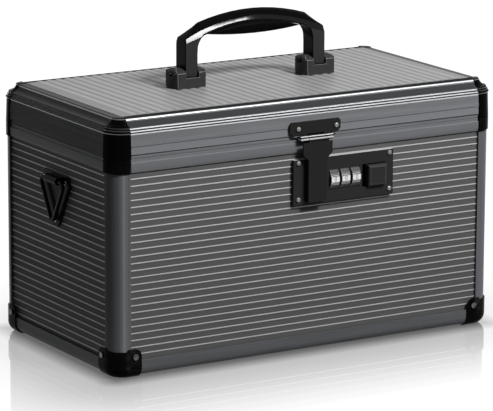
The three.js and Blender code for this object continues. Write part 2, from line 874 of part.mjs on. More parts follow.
function addButton() {
  const right = buttonLeft + buttonWidth;
  const top = buttonBottom + buttonHeight;
  const front = plateFront - buttonProud;
  const shoulder = front + buttonChamfer;
  const ring = (inset, y) => [
    [buttonLeft + inset, y, buttonBottom + inset],
    [right - inset, y, buttonBottom + inset],
    [right - inset, y, top - inset],
    [buttonLeft + inset, y, top - inset],
  ];
  const cap = lofted([ring(buttonChamfer, front), ring(0, shoulder), ring(0, plateBack + seatGap + buttonFlange)]);
  const spread = buttonWindowGap + buttonFlange;
  const flange = block(
    [buttonLeft, right],
    [plateBack + seatGap, plateBack + seatGap + buttonFlange],
    [buttonBottom - spread, top + spread],
  );
  const button = addGroup(base, [0, -caseDepth / 2, 0]);
  addPiece(button, 'release_button', join(cap, flange), satinCharcoal);
}

// Latch slider behind the plate: the button pushes its hook sideways inside the hasp.
const sliderWall = 2;
const sliderRise = 3.3;
const sliderBarBottom = plateBottom + sliderRise;
const sliderBarHeight = 2.6;
const stemLeft = 4.2;
const stemWidth = 3;
const stemRise = 8.3;
const stemBottom = plateBottom + stemRise;
const stemHeight = 4;
const footLeft = 1.6;
const footWall = 1.4;
const footFront = -3.7;
const riserInset = 4;
const riserWidth = 6;
const sliderBack = plateBack + 2 * seatGap + buttonFlange + sliderWall;

function addSlider() {
  const stemRight = stemLeft + stemWidth;
  const riserLeft = buttonLeft + riserInset;
  const layer = [sliderBack - sliderWall, sliderBack];
  const barTop = sliderBarBottom + sliderBarHeight;
  const geometry = join(
    block([stemLeft, riserLeft + riserWidth], layer, [sliderBarBottom, barTop]),
    block([riserLeft, riserLeft + riserWidth], layer, [sliderBarBottom, buttonBottom + buttonHeight / 2]),
    block([stemLeft, stemRight], layer, [sliderBarBottom, stemBottom + stemHeight]),
    block([stemLeft, stemRight], [footFront, sliderBack], [stemBottom, stemBottom + stemHeight]),
    block([footLeft, stemRight], [footFront, footFront + footWall], [stemBottom, stemBottom + stemHeight]),
  );
  const slider = addGroup(base, [0, -caseDepth / 2, 0]);
  addPiece(slider, 'latch_slider', geometry, innerSteel);
}

function addLockPlate() {
  const shape = roundedRectangle(
    [haspMiddle + plateLeft, haspMiddle + plateRight],
    [plateBottom, plateTop],
    plateRound,
    2,
  );
  const through = [plateFront - overrun, plateBack + overrun];
  const windows = [];
  for (let i = 0; i < wheelCount; i += 1) {
    const from = firstWheel + i * wheelPitch - runGap;
    const to = from + wheelWidth + 2 * runGap;
    windows.push(rod(wheelRadius + runGap, from, to, wheelAxisY, wheelHeight, windowSides));
  }
  windows.push(block(
    [buttonLeft - buttonTravel - runGap, buttonLeft + buttonWidth + runGap],
    through,
    [buttonBottom - buttonWindowGap, buttonBottom + buttonHeight + buttonWindowGap],
  ));
  windows.push(block(
    [stemLeft - buttonTravel - runGap, stemLeft + stemWidth + runGap],
    through,
    [stemBottom - runGap, stemBottom + stemHeight + runGap],
  ));
  const geometry = cut(alongY(shape, plateFront, plateBack), ...windows);
  addPiece(addGroup(base, [0, -caseDepth / 2, 0]), 'lock_plate', geometry, satinCharcoal);
}

// Lock housing: a tray through the front panel, open towards the plate,
// with two bearings for the wheels' shaft and a channel for the slider.
const housingInset = 2;
const housingWall = 1.2;
const bearingWall = 1.2;
const bearingGap = 0.7;

function housingSpan() {
  const x = [haspMiddle + plateLeft + housingInset, haspMiddle + plateRight - housingInset];
  const y = [plateBack + seatGap, wheelAxisY + wheelRadius + runGap + housingWall];
  const z = [plateBottom + housingInset, plateTop - housingInset];
  return [x, y, z];
}

function lockOpening() {
  const [[x0, x1], , [z0, z1]] = housingSpan();
  const y = [-overrun, frameWall + overrun];
  return block([x0 - seatGap, x1 + seatGap], y, [z0 - seatGap, z1 + seatGap]);
}

function addHousing() {
  const [[x0, x1], [y0, y1], [z0, z1]] = housingSpan();
  const tray = cut(
    block([x0, x1], [y0, y1], [z0, z1]),
    block(
      [x0 + housingWall, x1 - housingWall],
      [y0 - overrun, y1 - housingWall],
      [z0 + housingWall, z1 - housingWall],
    ),
  );
  const leftBearing = firstWheel - bearingGap - bearingWall;
  const rightBearing = firstWheel + (wheelCount - 1) * wheelPitch + wheelWidth + bearingGap;
  const bearings = [leftBearing, rightBearing].map((x) => block(
    [x, x + bearingWall],
    [sliderBack + runGap, y1 - housingWall / 2],
    [z0 + housingWall / 2, z1 - housingWall / 2],
  ));
  const bore = rod(
    shaftRadius + runGap,
    leftBearing - overrun,
    rightBearing + bearingWall + overrun,
    wheelAxisY,
    wheelHeight,
  );
  const housing = addGroup(base, [0, -caseDepth / 2, 0]);
  addPiece(housing, 'lock_housing', cut(join(tray, ...bearings), bore), darkMoulding);
  const shaft = rod(
    shaftRadius,
    leftBearing - bearingGap,
    rightBearing + bearingWall + bearingGap,
    wheelAxisY,
    wheelHeight,
  );
  addPiece(housing, 'wheel_shaft', shaft, innerSteel);
}

// Hasp: a strap hung by a set-back neck from a barrel on the lid, folded to a channel over the latch.
const haspAxisOut = 2.6;
const haspAxisRise = 0.7;
const haspAxisHeight = seamHeight + haspAxisRise;
const barrelRadius = 2.1;
const barrelHalf = 6.4;
const pinRadius = 1;
const knuckleEnd = 13;
const haspWall = 1.4;
const haspFront = -2.8;
const haspBack = 1.3;
const shoulderHalf = 11.7;
const shoulderTopDrop = 2.8;
const shoulderBottomDrop = 10.6;
const strapHalf = 7.4;
const strapTaperDrop = 14.8;
const strapEndDrop = 44.3;
const sideWall = 1.2;
const neckFront = -0.9;
const neckWall = 1.5;
const neckFoot = 4.4;
const catchReach = 2.5;
const catchWall = 0.7;
const catchTopDrop = 28;

function addHasp() {
  const hasp = addGroup(lid, [haspMiddle, -caseDepth / 2 - haspAxisOut, haspAxisHeight]);
  const half = [
    [shoulderHalf, -shoulderTopDrop],
    [shoulderHalf, -shoulderBottomDrop],
    [strapHalf, -strapTaperDrop],
    [strapHalf, -strapEndDrop],
  ];
  const mirrored = half.map(([x, z]) => [-x, z]).reverse();
  const face = alongY(outline([...half, ...mirrored]), haspFront, haspFront + haspWall);
  const wallZ = [-strapEndDrop, -strapTaperDrop];
  const geometry = join(
    face,
    block([-barrelHalf, barrelHalf], [neckFront, neckFront + neckWall], [-neckFoot, 0]),
    block([-barrelHalf, barrelHalf], [haspFront, neckFront + neckWall], [-neckFoot, -shoulderTopDrop]),
    block([-strapHalf, -strapHalf + sideWall], [haspFront, haspBack], wallZ),
    block([strapHalf - sideWall, strapHalf], [haspFront, haspBack], wallZ),
    block(
      [-strapHalf, -strapHalf + sideWall + catchReach],
      [haspBack - catchWall, haspBack],
      [-strapEndDrop, -catchTopDrop],
    ),
    rod(barrelRadius, -barrelHalf, barrelHalf),
    rod(pinRadius, -knuckleEnd, knuckleEnd),
  );
  addPiece(hasp, 'hasp_strap', geometry, satinCharcoal);
}

// The hasp's plate on the lid, with a knuckle at each end of the barrel.
const haspPlateHalf = 20.3;
const haspPlateRise = 1.6;
const haspPlateHeight = 10;
const haspPlateWall = 1.4;
const haspPlateChamfer = 3;

function addHaspPlate() {
  const back = haspAxisOut - seatGap;
  const front = back - haspPlateWall;
  const bottom = haspPlateRise;
  const top = bottom + haspPlateHeight;
  const shape = outline([
    [-haspPlateHalf + haspPlateChamfer, bottom],
    [haspPlateHalf - haspPlateChamfer, bottom],
    [haspPlateHalf, bottom + haspPlateChamfer],
    [haspPlateHalf, top - haspPlateChamfer / 2],
    [haspPlateHalf - haspPlateChamfer / 2, top],
    [-haspPlateHalf + haspPlateChamfer / 2, top],
    [-haspPlateHalf, top - haspPlateChamfer / 2],
    [-haspPlateHalf, bottom + haspPlateChamfer],
  ]);
  const inner = barrelHalf + runGap;
  const knuckles = [];
  for (const [from, to] of [[-knuckleEnd, -inner], [inner, knuckleEnd]]) {
    knuckles.push(rod(barrelRadius, from, to));
    knuckles.push(block([from, to], [front, back], [0, bottom + barrelRadius]));
  }
  const geometry = cut(
    join(alongY(shape, front, back), ...knuckles),
    block([-inner, inner], [front - overrun, back + overrun], [-overrun, runGap - haspFront]),
    rod(pinRadius + runGap, -knuckleEnd - overrun, knuckleEnd + overrun),
  );
  const group = addGroup(lid, [haspMiddle, -caseDepth / 2 - haspAxisOut, haspAxisHeight]);
  addPiece(group, 'hasp_plate', geometry, satinCharcoal);
}

// Butt hinges on the back, with the knuckles on the seam.
const hingePlaceShare = 0.3115;
const hingePlace = hingePlaceShare * caseLength;
const hingeHalf = 20;
const hingeAxisOut = 2.6;
const hingeWall = 1.2;
const hingeRadius = 2.3;
const hingePinRadius = 1.1;
const hingeMiddleHalf = 6.5;
const hingeBaseDrop = 8.6;
const hingeLidRise = 10.4;

function hingeLeaf(edge, knuckleSpans, freeSpans) {
  const back = hingeAxisOut - seatGap;
  const front = back - hingeWall;
  const clear = hingeRadius + runGap;
  const z = [Math.min(0, edge), Math.max(0, edge)];
  const plate = block([-hingeHalf, hingeHalf], [front, back], z);
  const rods = knuckleSpans.map(([from, to]) => rod(hingeRadius, from, to));
  const gaps = freeSpans.map(([from, to]) => block(
    [from, to],
    [-hingeRadius - overrun, back + overrun],
    [-clear, clear],
  ));
  const bore = rod(hingePinRadius + runGap, -hingeHalf - overrun, hingeHalf + overrun);
  return cut(join(plate, ...rods), ...gaps, bore);
}

function addHinges() {
  const inner = hingeMiddleHalf + runGap;
  const outerSpans = [[-hingeHalf, -inner], [inner, hingeHalf]];
  const middleSpan = [[-hingeMiddleHalf, hingeMiddleHalf]];
  const pastOuter = [
    [-hingeHalf - overrun, -hingeMiddleHalf],
    [hingeMiddleHalf, hingeHalf + overrun],
  ];
  const baseLeaf = hingeLeaf(-hingeBaseDrop, middleSpan, pastOuter);
  const lidLeaf = hingeLeaf(hingeLidRise, outerSpans, [[-inner, inner]]);
  const pin = rod(hingePinRadius, -hingeHalf, hingeHalf, 0, 0, 12);
  const back = sides[2];
  for (const [name, x] of [['left', hingePlace], ['right', -hingePlace]]) {
    const onBase = addGroup(onSide(base, back), [x, -hingeAxisOut, seamHeight]);
    const onLid = addGroup(onSide(lid, back), [x, -hingeAxisOut, seamHeight]);
    addPiece(onBase, `hinge_leaf_base_${name}`, baseLeaf, gunmetal);
    addPiece(onLid, `hinge_leaf_lid_${name}`, lidLeaf, gunmetal);
    addPiece(onLid, `hinge_pin_${name}`, pin, innerSteel);
  }
}

// Strap rings on the two ends: a three-sided wire loop in a rolled eye on a tapered plate.
const ringSeamDrop = 27;
const ringHeight = seamHeight - ringSeamDrop;
const ringOut = 2.9;
const wireRadius = 1.4;
const wireSides = 8;
const ringHalf = 17.5;
const ringDrop = 31.5;
const ringRound = 3.4;
const eyeHalf = 9;
const eyeRadius = 2.7;
const ringPlateWall = 1.5;
const ringPlateTopRise = 5;
const ringPlateTopHalf = 16;
const ringPlateHalf = 20.5;
const ringPlateHalfDrop = 2;
const ringPlateEndHalf = 5;
const ringPlateEndDrop = 30;
const ringPlateTipHalf = 2.5;
const ringPlateTipDrop = 33;

// Centre line of the loop: three straight bars joined by round bends.
function ringPath() {
  const points = [];
  const tips = [[-ringHalf, 0], [ringHalf, 0], [0, -ringDrop]].map(([x, z]) => new THREE.Vector2(x, z));
  for (let i = 0; i < tips.length; i += 1) {
    const tip = tips[i];
    const before = tips[(i + 2) % 3].clone().sub(tip).normalize();
    const after = tips[(i + 1) % 3].clone().sub(tip).normalize();
    const half = Math.acos(before.dot(after)) / 2;
    const axis = before.clone().add(after).normalize();
    const centre = tip.clone().addScaledVector(axis, ringRound / Math.sin(half));
    const bend = 90 * degree - half;
    const outwards = axis.clone().negate();
    for (let k = -3; k <= 3; k += 1) {
      const angle = (-bend * k) / 3;
      const turned = outwards.clone().rotateAround(new THREE.Vector2(), angle);
      points.push(centre.clone().addScaledVector(turned, ringRound));
    }
  }
  return points;
}

function ringGeometry() {
  const path = ringPath();
  const positions = [];
  const faces = [];
  path.forEach((point, i) => {
    const previous = path[(i + path.length - 1) % path.length];
    const next = path[(i + 1) % path.length];
    const along = next.clone().sub(previous).normalize();
    for (let k = 0; k < wireSides; k += 1) {
      const angle = ((k + 0.5) * 360 * degree) / wireSides;
      const sideways = wireRadius * Math.cos(angle);
      const x = point.x - along.y * sideways;
      const z = point.y + along.x * sideways;
      positions.push(x, wireRadius * Math.sin(angle), z);
      const [a, b] = [i * wireSides + k, i * wireSides + ((k + 1) % wireSides)];
      const offset = i + 1 < path.length ? wireSides : -i * wireSides;
      faces.push(a, b, b + offset, a, b + offset, a + offset);
    }
  });
  const geometry = new THREE.BufferGeometry();
  geometry.setAttribute('position', new THREE.Float32BufferAttribute(positions, 3));
  geometry.setIndex(faces);
  return geometry;
}

function ringPlateGeometry() {
  const half = [
    [ringPlateTopHalf, ringPlateTopRise],
    [ringPlateHalf, -ringPlateHalfDrop],
    [ringPlateEndHalf, -ringPlateEndDrop],
    [ringPlateTipHalf, -ringPlateTipDrop],
  ];
  const mirrored = half.map(([x, z]) => [-x, z]).reverse();
  const back = ringOut + lipWall;
  const front = back - ringPlateWall;
  return cut(
    join(
      alongY(outline([...half, ...mirrored]), front, back),
      rod(eyeRadius, -eyeHalf, eyeHalf),
      block([-eyeHalf, eyeHalf], [0, back], [-eyeRadius, eyeRadius]),
    ),
    rod(wireRadius + runGap, -ringPlateHalf, ringPlateHalf, 0, 0, 2 * wireSides),
  );
}

function addRings() {
  const [, right, , left] = sides;
  for (const side of [left, right]) {
    const group = addGroup(onSide(base, side), [0, -ringOut, ringHeight]);
    addPiece(group, `ring_plate_${side.name}`, ringPlateGeometry(), blackEnamel);
    addPiece(group, `strap_ring_${side.name}`, ringGeometry(), blackEnamel);
  }
}

addPosts();
addBottomRails();
addRimRails();
addRimCorners();
addBottomCorners();
addSidePanels();
addFlatPanels();
addPads();
addLidRails();
addLidCorners();
addBrackets();
addHandle();
addLockPlate();
addHousing();
addWheels();
addButton();
addSlider();
addHaspPlate();
addHasp();
addHinges();
addRings();

export default part;
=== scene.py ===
import json
import math

import bpy
from mathutils import Matrix, Vector

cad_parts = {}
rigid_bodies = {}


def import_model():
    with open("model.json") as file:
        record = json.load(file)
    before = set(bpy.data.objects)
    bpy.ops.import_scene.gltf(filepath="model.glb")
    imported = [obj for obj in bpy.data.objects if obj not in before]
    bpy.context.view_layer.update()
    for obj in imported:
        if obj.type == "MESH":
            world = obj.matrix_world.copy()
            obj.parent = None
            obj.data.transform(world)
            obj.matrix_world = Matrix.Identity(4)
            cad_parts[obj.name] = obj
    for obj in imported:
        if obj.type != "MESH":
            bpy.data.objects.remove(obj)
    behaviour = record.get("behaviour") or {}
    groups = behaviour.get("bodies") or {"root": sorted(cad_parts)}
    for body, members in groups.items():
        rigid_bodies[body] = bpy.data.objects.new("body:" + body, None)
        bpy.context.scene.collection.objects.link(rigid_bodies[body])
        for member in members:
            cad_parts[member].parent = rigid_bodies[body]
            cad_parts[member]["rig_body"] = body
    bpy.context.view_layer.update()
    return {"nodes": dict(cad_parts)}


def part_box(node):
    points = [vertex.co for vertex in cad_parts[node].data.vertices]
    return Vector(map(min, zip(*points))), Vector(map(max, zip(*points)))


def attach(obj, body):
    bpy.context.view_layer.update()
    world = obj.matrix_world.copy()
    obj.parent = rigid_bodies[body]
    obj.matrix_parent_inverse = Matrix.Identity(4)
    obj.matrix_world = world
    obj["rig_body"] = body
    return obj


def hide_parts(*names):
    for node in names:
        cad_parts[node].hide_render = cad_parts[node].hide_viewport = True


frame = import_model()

# Camera: a long lens a little above the lid, looking at the front and the left end.
# The principal point is the middle of the picture, so there is no shift.
camera_yaw, camera_pitch, camera_roll = 0.543835, 0.22494, 0.004282
forward = Vector((
    math.sin(camera_yaw) * math.cos(camera_pitch),
    math.cos(camera_yaw) * math.cos(camera_pitch),
    -math.sin(camera_pitch),
))
level = Vector((math.cos(camera_yaw), -math.sin(camera_yaw), 0))
upright = level.cross(forward)
across = math.cos(camera_roll) * level + math.sin(camera_roll) * upright
above = math.cos(camera_roll) * upright - math.sin(camera_roll) * level
camera_data = bpy.data.cameras.new("camera")
camera_data.lens = 252.30
camera_data.sensor_width = 36
camera_data.clip_start, camera_data.clip_end = 0.05, 60
camera = bpy.data.objects.new("camera", camera_data)
camera.matrix_world = (
    Matrix.Translation((-1.22590, -2.02539, 0.62893))
    @ Matrix((across, above, -forward)).transposed().to_4x4()
)
bpy.context.scene.collection.objects.link(camera)
bpy.context.scene.camera = camera
bpy.context.scene.view_settings.view_transform = "Standard"


# Studio: a white sweep that the eye and the metal see as plain white, a small key lamp before
# the front, a strip lamp for the handle's highlight, weak lamps overhead and behind, and a white
# table that mirrors the foot of the box, loses the mirror image a hand's length away and is
# painted darker round the foot as the box's shadow.
def add_node(tree, kind, inputs=None, **settings):
    """A node with its settings, and its inputs linked or filled in."""
    made = tree.nodes.new(kind)
    for name, value in settings.items():
        setattr(made, name, value)
    for key, value in (inputs or {}).items():
        if isinstance(value, bpy.types.NodeSocket):
            tree.links.new(value, made.inputs[key])
        else:
            made.inputs[key].default_value = value
    return made


def ramp(tree, value, start, stop, low=0.0, high=1.0, **settings):
    """Turns a value that runs from start to stop into one that runs from low to high."""
    limits = {0: value, 1: start, 2: stop, 3: low, 4: high}
    return add_node(tree, "ShaderNodeMapRange", limits, **settings).outputs[0]


def worked(tree, operation, first, second=0.0, **settings):
    """The result of one sum on one or two values."""
    values = {0: first, 1: second}
    return add_node(tree, "ShaderNodeMath", values, operation=operation, **settings).outputs[0]


def seen_directly(tree):
    """1 for rays from the eye, off metal or through glass, 0 for scattered light."""
    path = add_node(tree, "ShaderNodeLightPath")
    eye_or_metal = worked(tree, "ADD", path.outputs["Is Camera Ray"], path.outputs["Is Glossy Ray"])
    return worked(tree, "ADD", eye_or_metal, path.outputs["Is Transmission Ray"], use_clamp=True)


world = bpy.data.worlds.new("studio")
world.use_nodes = True
bpy.context.scene.world = world
sky = world.node_tree
ambient = 0.06
strength = ramp(sky, seen_directly(sky), 0.0, 1.0, ambient, 1.0)
background = sky.nodes["Background"]
background.inputs["Color"].default_value = (1, 1, 1, 1)
sky.links.new(strength, background.inputs["Strength"])


def soft_lamp(name, place, target, width, height, watts):
    """A rectangular lamp that looks at its target."""
    data = bpy.data.lights.new(name, "AREA")
    data.shape = "RECTANGLE"
    data.size, data.size_y, data.energy = width, height, watts
    lamp = bpy.data.objects.new(name, data)
    aim = (Vector(target) - Vector(place)).to_track_quat("-Z", "Y")
    lamp.matrix_world = Matrix.Translation(place) @ aim.to_matrix().to_4x4()
    bpy.context.scene.collection.objects.link(lamp)


soft_lamp("lamp_over", (0.30, -0.20, 1.60), (0, 0, 0.2), 0.6, 0.3, 2.5)
soft_lamp("lamp_key", (0.36, -1.20, 1.40), (0, 0, 0.12), 0.30, 0.20, 20)
soft_lamp("lamp_strip", (0.61, -1.23, 1.222), (0, 0, 0.22), 0.50, 0.075, 12)
soft_lamp("lamp_back", (-0.15, 1.90, 0.24), (0, 0, 0.12), 0.6, 0.3, 9)

bpy.ops.mesh.primitive_plane_add(size=24)
table = bpy.context.object
table.name = "table_top"
white_gloss = bpy.data.materials.new("white_gloss_table")
white_gloss.use_nodes = True
tree = white_gloss.node_tree
tree.nodes.remove(tree.nodes["Principled BSDF"])
place = add_node(tree, "ShaderNodeTexCoord")
foot_half_length, foot_half_width = 0.150, 0.079
mirror_reach, painted_shade_reach, painted_shadow_edge_reach = 0.17, 0.07, 0.016
spread = add_node(tree, "ShaderNodeVectorMath", {0: place.outputs["Object"]}, operation="ABSOLUTE")
foot = (foot_half_length, foot_half_width, 0)
outside = add_node(tree, "ShaderNodeVectorMath", {0: spread.outputs[0], 1: foot}, operation="SUBTRACT")
clear = add_node(tree, "ShaderNodeVectorMath", {0: outside.outputs[0], 1: (0, 0, 0)}, operation="MAXIMUM")
away = add_node(tree, "ShaderNodeVectorMath", {0: clear.outputs[0]}, operation="LENGTH")
distance = away.outputs["Value"]
fade = ramp(tree, distance, 0.0, mirror_reach, 1.0, 0.0, interpolation_type="SMOOTHSTEP")
grazing = add_node(tree, "ShaderNodeFresnel", {"IOR": 1.45})
shine = worked(tree, "MULTIPLY", grazing.outputs[0], 2.15, use_clamp=True)
mirror_share = worked(tree, "MULTIPLY", shine, fade)
# Painted shadow: the table is darker near the foot of the box, and much darker right at its edge.
painted_shade_glow = ramp(tree, distance, 0.0, painted_shade_reach, 0.89, 1.0)
painted_edge_shadow = ramp(tree, distance, 0.0, painted_shadow_edge_reach, 0.3, 1.0)
painted_shadow_near_foot = worked(tree, "MULTIPLY", painted_shade_glow, painted_edge_shadow)
seen_glow = worked(tree, "MULTIPLY", painted_shadow_near_foot, seen_directly(tree))
lit = add_node(tree, "ShaderNodeBsdfDiffuse", {"Color": (0.10, 0.10, 0.10, 1)})
shining = add_node(tree, "ShaderNodeEmission", {"Strength": seen_glow})
matt = add_node(tree, "ShaderNodeAddShader", {0: lit.outputs[0], 1: shining.outputs[0]})
mirror = add_node(tree, "ShaderNodeBsdfGlossy", {"Roughness": 0.03})
table_skin = add_node(tree, "ShaderNodeMixShader",
                      {0: mirror_share, 1: matt.outputs[0], 2: mirror.outputs[0]})
tree.links.new(table_skin.outputs[0], tree.nodes["Material Output"].inputs["Surface"])
table.data.materials.append(white_gloss)


# Corner posts: round-edged aluminium extrusions, anodised gunmetal. They stand in the ball
# corners and hold a panel in each of their two slots. The left posts have a narrow bead that
# is painted lighter, a painted highlight.
def blended(tree, share, under, over, **settings):
    """The first colour with a share of the second over it."""
    colours = {0: share, 6: under, 7: over}
    return add_node(tree, "ShaderNodeMix", colours, data_type="RGBA", **settings).outputs[2]


def shader_group(name, sockets_in, sockets_out):
    """An empty node group with its input and output nodes."""
    group = bpy.data.node_groups.new(name, "ShaderNodeTree")
    for socket, kind in sockets_in:
        group.interface.new_socket(socket, in_out="INPUT", socket_type=kind)
    for socket in sockets_out:
        group.interface.new_socket(socket, in_out="OUTPUT", socket_type="NodeSocketFloat")
    return group, group.nodes.new("NodeGroupInput"), group.nodes.new("NodeGroupOutput")


def noise(tree, place, scale, detail):
    """Soft random values from 0 to 1."""
    settings = {"Vector": place, "Scale": scale, "Detail": detail}
    return add_node(tree, "ShaderNodeTexNoise", settings).outputs[0]


def grain_group():
    """Fine lines or specks and a slow cloudy change of tone, both from 0 to 1."""
    group, start, end = shader_group("drawn_grain", (("Place", "NodeSocketVector"),), ("Lines", "Cloud"))
    group.links.new(noise(group, start.outputs["Place"], 1.0, 3.0), end.inputs["Lines"])
    group.links.new(noise(group, start.outputs["Place"], 0.03, 2.0), end.inputs["Cloud"])
    return group


def wear_group():
    """A mask that is 1 on outer edges in random patches and 0 on faces: partly scuffing, partly painted
    glint.
    """
    sockets = (("Place", "NodeSocketVector"), ("Amount", "NodeSocketFloat"))
    group, start, end = shader_group("rubbed_edges", sockets, ("Wear_glint",))
    shape = add_node(group, "ShaderNodeNewGeometry")
    edge = ramp(group, shape.outputs["Pointiness"], 0.53, 0.62)
    patches = ramp(group, noise(group, start.outputs["Place"], 0.25, 3.0), 0.35, 0.65)
    wear_glint_patches = worked(group, "MULTIPLY", edge, patches)
    group.links.new(worked(group, "MULTIPLY", wear_glint_patches, start.outputs["Amount"]), end.inputs["Wear_glint"])
    return group


drawn_grain = grain_group()
rubbed_edges = wear_group()
along_x, along_y, along_z = (60, 1400, 1400), (1400, 60, 1400), (1400, 1400, 60)
all_ways = (900, 900, 900)
weld_distance = 0.000002


def finish(name, colour, roughness, metallic=0.0, specular=0.5, grain=all_ways, tone=0.1,
           relief=0.00001, wear_glint_colour=(0.5, 0.5, 0.5), wear_glint_amount=0.0):
    """A surface with fine lines or specks, a slow change of tone and edges lightened in patches, partly
    as scuffing and partly as painted glint.
    """
    material = bpy.data.materials.new(name)
    material.use_nodes = True
    tree = material.node_tree
    shader = tree.nodes["Principled BSDF"]
    place = add_node(tree, "ShaderNodeTexCoord")
    mapped = add_node(tree, "ShaderNodeMapping", {"Vector": place.outputs["Object"], "Scale": grain})
    marks = add_node(tree, "ShaderNodeGroup", node_tree=drawn_grain)
    tree.links.new(mapped.outputs[0], marks.inputs["Place"])
    rubbed = add_node(tree, "ShaderNodeGroup", node_tree=rubbed_edges)
    tree.links.new(mapped.outputs[0], rubbed.inputs["Place"])
    rubbed.inputs["Amount"].default_value = wear_glint_amount
    lines = ramp(tree, marks.outputs["Lines"], 0.25, 0.75, 1 - tone, 1 + tone)
    cloud = ramp(tree, marks.outputs["Cloud"], 0.3, 0.7, 1 - tone / 2, 1 + tone / 2)
    both = worked(tree, "MULTIPLY", lines, cloud)
    toned = blended(tree, 1.0, (*colour, 1), both, blend_type="MULTIPLY")
    with_glint = blended(tree, rubbed.outputs["Wear_glint"], toned, (*wear_glint_colour, 1))
    rough = ramp(tree, marks.outputs["Cloud"], 0.3, 0.7, roughness * 0.88, roughness * 1.12)
    bump = add_node(tree, "ShaderNodeBump",
                    {"Height": marks.outputs["Lines"], "Strength": 0.35, "Distance": relief})
    tree.links.new(with_glint, shader.inputs["Base Color"])
    tree.links.new(rough, shader.inputs["Roughness"])
    tree.links.new(bump.outputs[0], shader.inputs["Normal"])
    shader.inputs["Metallic"].default_value = metallic
    shader.inputs["Specular IOR Level"].default_value = specular
    return material


def only(*pieces):
    """Selects these pieces and nothing else."""
    bpy.ops.object.select_all(action="DESELECT")
    for piece in pieces:
        piece.select_set(True)
    bpy.context.view_layer.objects.active = pieces[0]


def evened(piece, smooth):
    """Smooths what is blunter than an angle and lets the large faces rule the shading."""
    bpy.ops.object.shade_smooth_by_angle(angle=math.radians(smooth))
    weighted = piece.modifiers.new("normals", "WEIGHTED_NORMAL")
    weighted.keep_sharp = True
    bpy.ops.object.modifier_apply(modifier="normals")


def eased(piece, edge, steps=2, crease=24, smooth=52, rubbed=None):
    """Rounds a piece's hard edges, gives the rounded edges a lighter finish as a painted glint when one
    is given and smooths what is left.
    """
    only(piece)
    bevel = piece.modifiers.new("edges", "BEVEL")
    bevel.width, bevel.segments = edge, steps
    bevel.limit_method, bevel.angle_limit = "ANGLE", math.radians(crease)
    if rubbed:
        piece.data.materials.append(rubbed)
        bevel.material = 1
    bpy.ops.object.modifier_apply(modifier="edges")
    evened(piece, smooth)


def refined(node, word, material, slot, edge, **easing):
    """The node's own form, welded, with its hard edges rounded."""
    source = frame["nodes"][node]
    piece = bpy.data.objects.new(f"{node}_{word}", source.data.copy())
    bpy.context.scene.collection.objects.link(piece)
    piece.data.materials.clear()
    piece.data.materials.append(material)
    only(piece)
    bpy.ops.object.mode_set(mode="EDIT")
    bpy.ops.mesh.select_all(action="SELECT")
    bpy.ops.mesh.remove_doubles(threshold=weld_distance)
    bpy.ops.mesh.customdata_custom_splitnormals_clear()
    bpy.ops.mesh.dissolve_limited(angle_limit=math.radians(0.4))
    bpy.ops.object.mode_set(mode="OBJECT")
    eased(piece, edge, **easing)
    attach(piece, source["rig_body"])
    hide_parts(node)
    return piece


corner_names = ("front_left", "front_right", "back_right", "back_left")
dark_gunmetal = (0.112, 0.117, 0.126)
# Lighter colour of outer edges: partly scuffing, partly painted glint.
edge_wear_glint_colour = (0.42, 0.43, 0.44)


def gunmetal_drawn(name, colour, grain):
    """Anodised metal with fine die lines that run along the piece."""
    return finish(name, colour, 0.34, specular=0.05, grain=grain, tone=0.03, wear_glint_colour=edge_wear_glint_colour, wear_glint_amount=0.15)


def band_group():
    """A mask that is 1 inside a band of heights and fades over a tenth of a millimetre."""
    number = "NodeSocketFloat"
    sockets = (("Height", number), ("Middle", number), ("Half", number))
    group, start, end = shader_group("height_band", sockets, ("Band",))
    above = worked(group, "SUBTRACT", start.outputs["Height"], start.outputs["Middle"])
    apart = worked(group, "ABSOLUTE", above)
    inside = worked(group, "SUBTRACT", start.outputs["Half"], apart)
    group.links.new(ramp(group, inside, -0.00005, 0.00005), end.inputs["Band"])
    return group


height_band = band_group()


def banded(material, axis, bands, colour):
    """Gives bands across one axis a colour of their own and returns their mask."""
    tree = material.node_tree
    shader = tree.nodes["Principled BSDF"]
    place = add_node(tree, "ShaderNodeTexCoord")
    parts = add_node(tree, "ShaderNodeSeparateXYZ", {0: place.outputs["Object"]})
    total = None
    for middle, half in bands:
        band = add_node(tree, "ShaderNodeGroup", node_tree=height_band)
        tree.links.new(parts.outputs[axis], band.inputs["Height"])
        band.inputs["Middle"].default_value = middle
        band.inputs["Half"].default_value = half
        mask = band.outputs["Band"]
        total = worked(tree, "MAXIMUM", total, mask) if total else mask
    under = shader.inputs["Base Color"].links[0].from_socket
    tree.links.new(blended(tree, total, under, (*colour, 1)), shader.inputs["Base Color"])
    return total


gunmetal_upright = gunmetal_drawn("gunmetal_upright", dark_gunmetal, along_z)
painted_highlight_x = -0.1443
# Painted highlight: a soft light band with a brighter middle along the left posts.
banded(gunmetal_upright, "X", ((painted_highlight_x, 0.0026),), (0.150, 0.156, 0.166))
banded(gunmetal_upright, "X", ((painted_highlight_x, 0.0010),), (0.215, 0.222, 0.232))
for corner in corner_names:
    refined(f"corner_post_{corner}", "metal", gunmetal_upright, "gunmetal", 0.0002)


# Bottom rails: the same extrusion laid flat, with the floor board in its inner slot.
# The die lines run along each rail, so the long and the short rails have their own finish.
side_names = ("front", "right", "back", "left")
foot_gunmetal = (0.078, 0.081, 0.087)
foot_long = gunmetal_drawn("gunmetal_foot_long", foot_gunmetal, along_x)
foot_short = gunmetal_drawn("gunmetal_foot_short", foot_gunmetal, along_y)
foot_metal = {"front": foot_long, "back": foot_long, "left": foot_short, "right": foot_short}
for side in side_names:
    refined(f"bottom_rail_{side}", "metal", foot_metal[side], "gunmetal", 0.0002)


# Rim rails: extruded sections that close the base, with a raised band, a groove at the seam
# and a tongue inside the lid. They are pressed over the panels' upper edges.
gunmetal = (0.172, 0.178, 0.188)
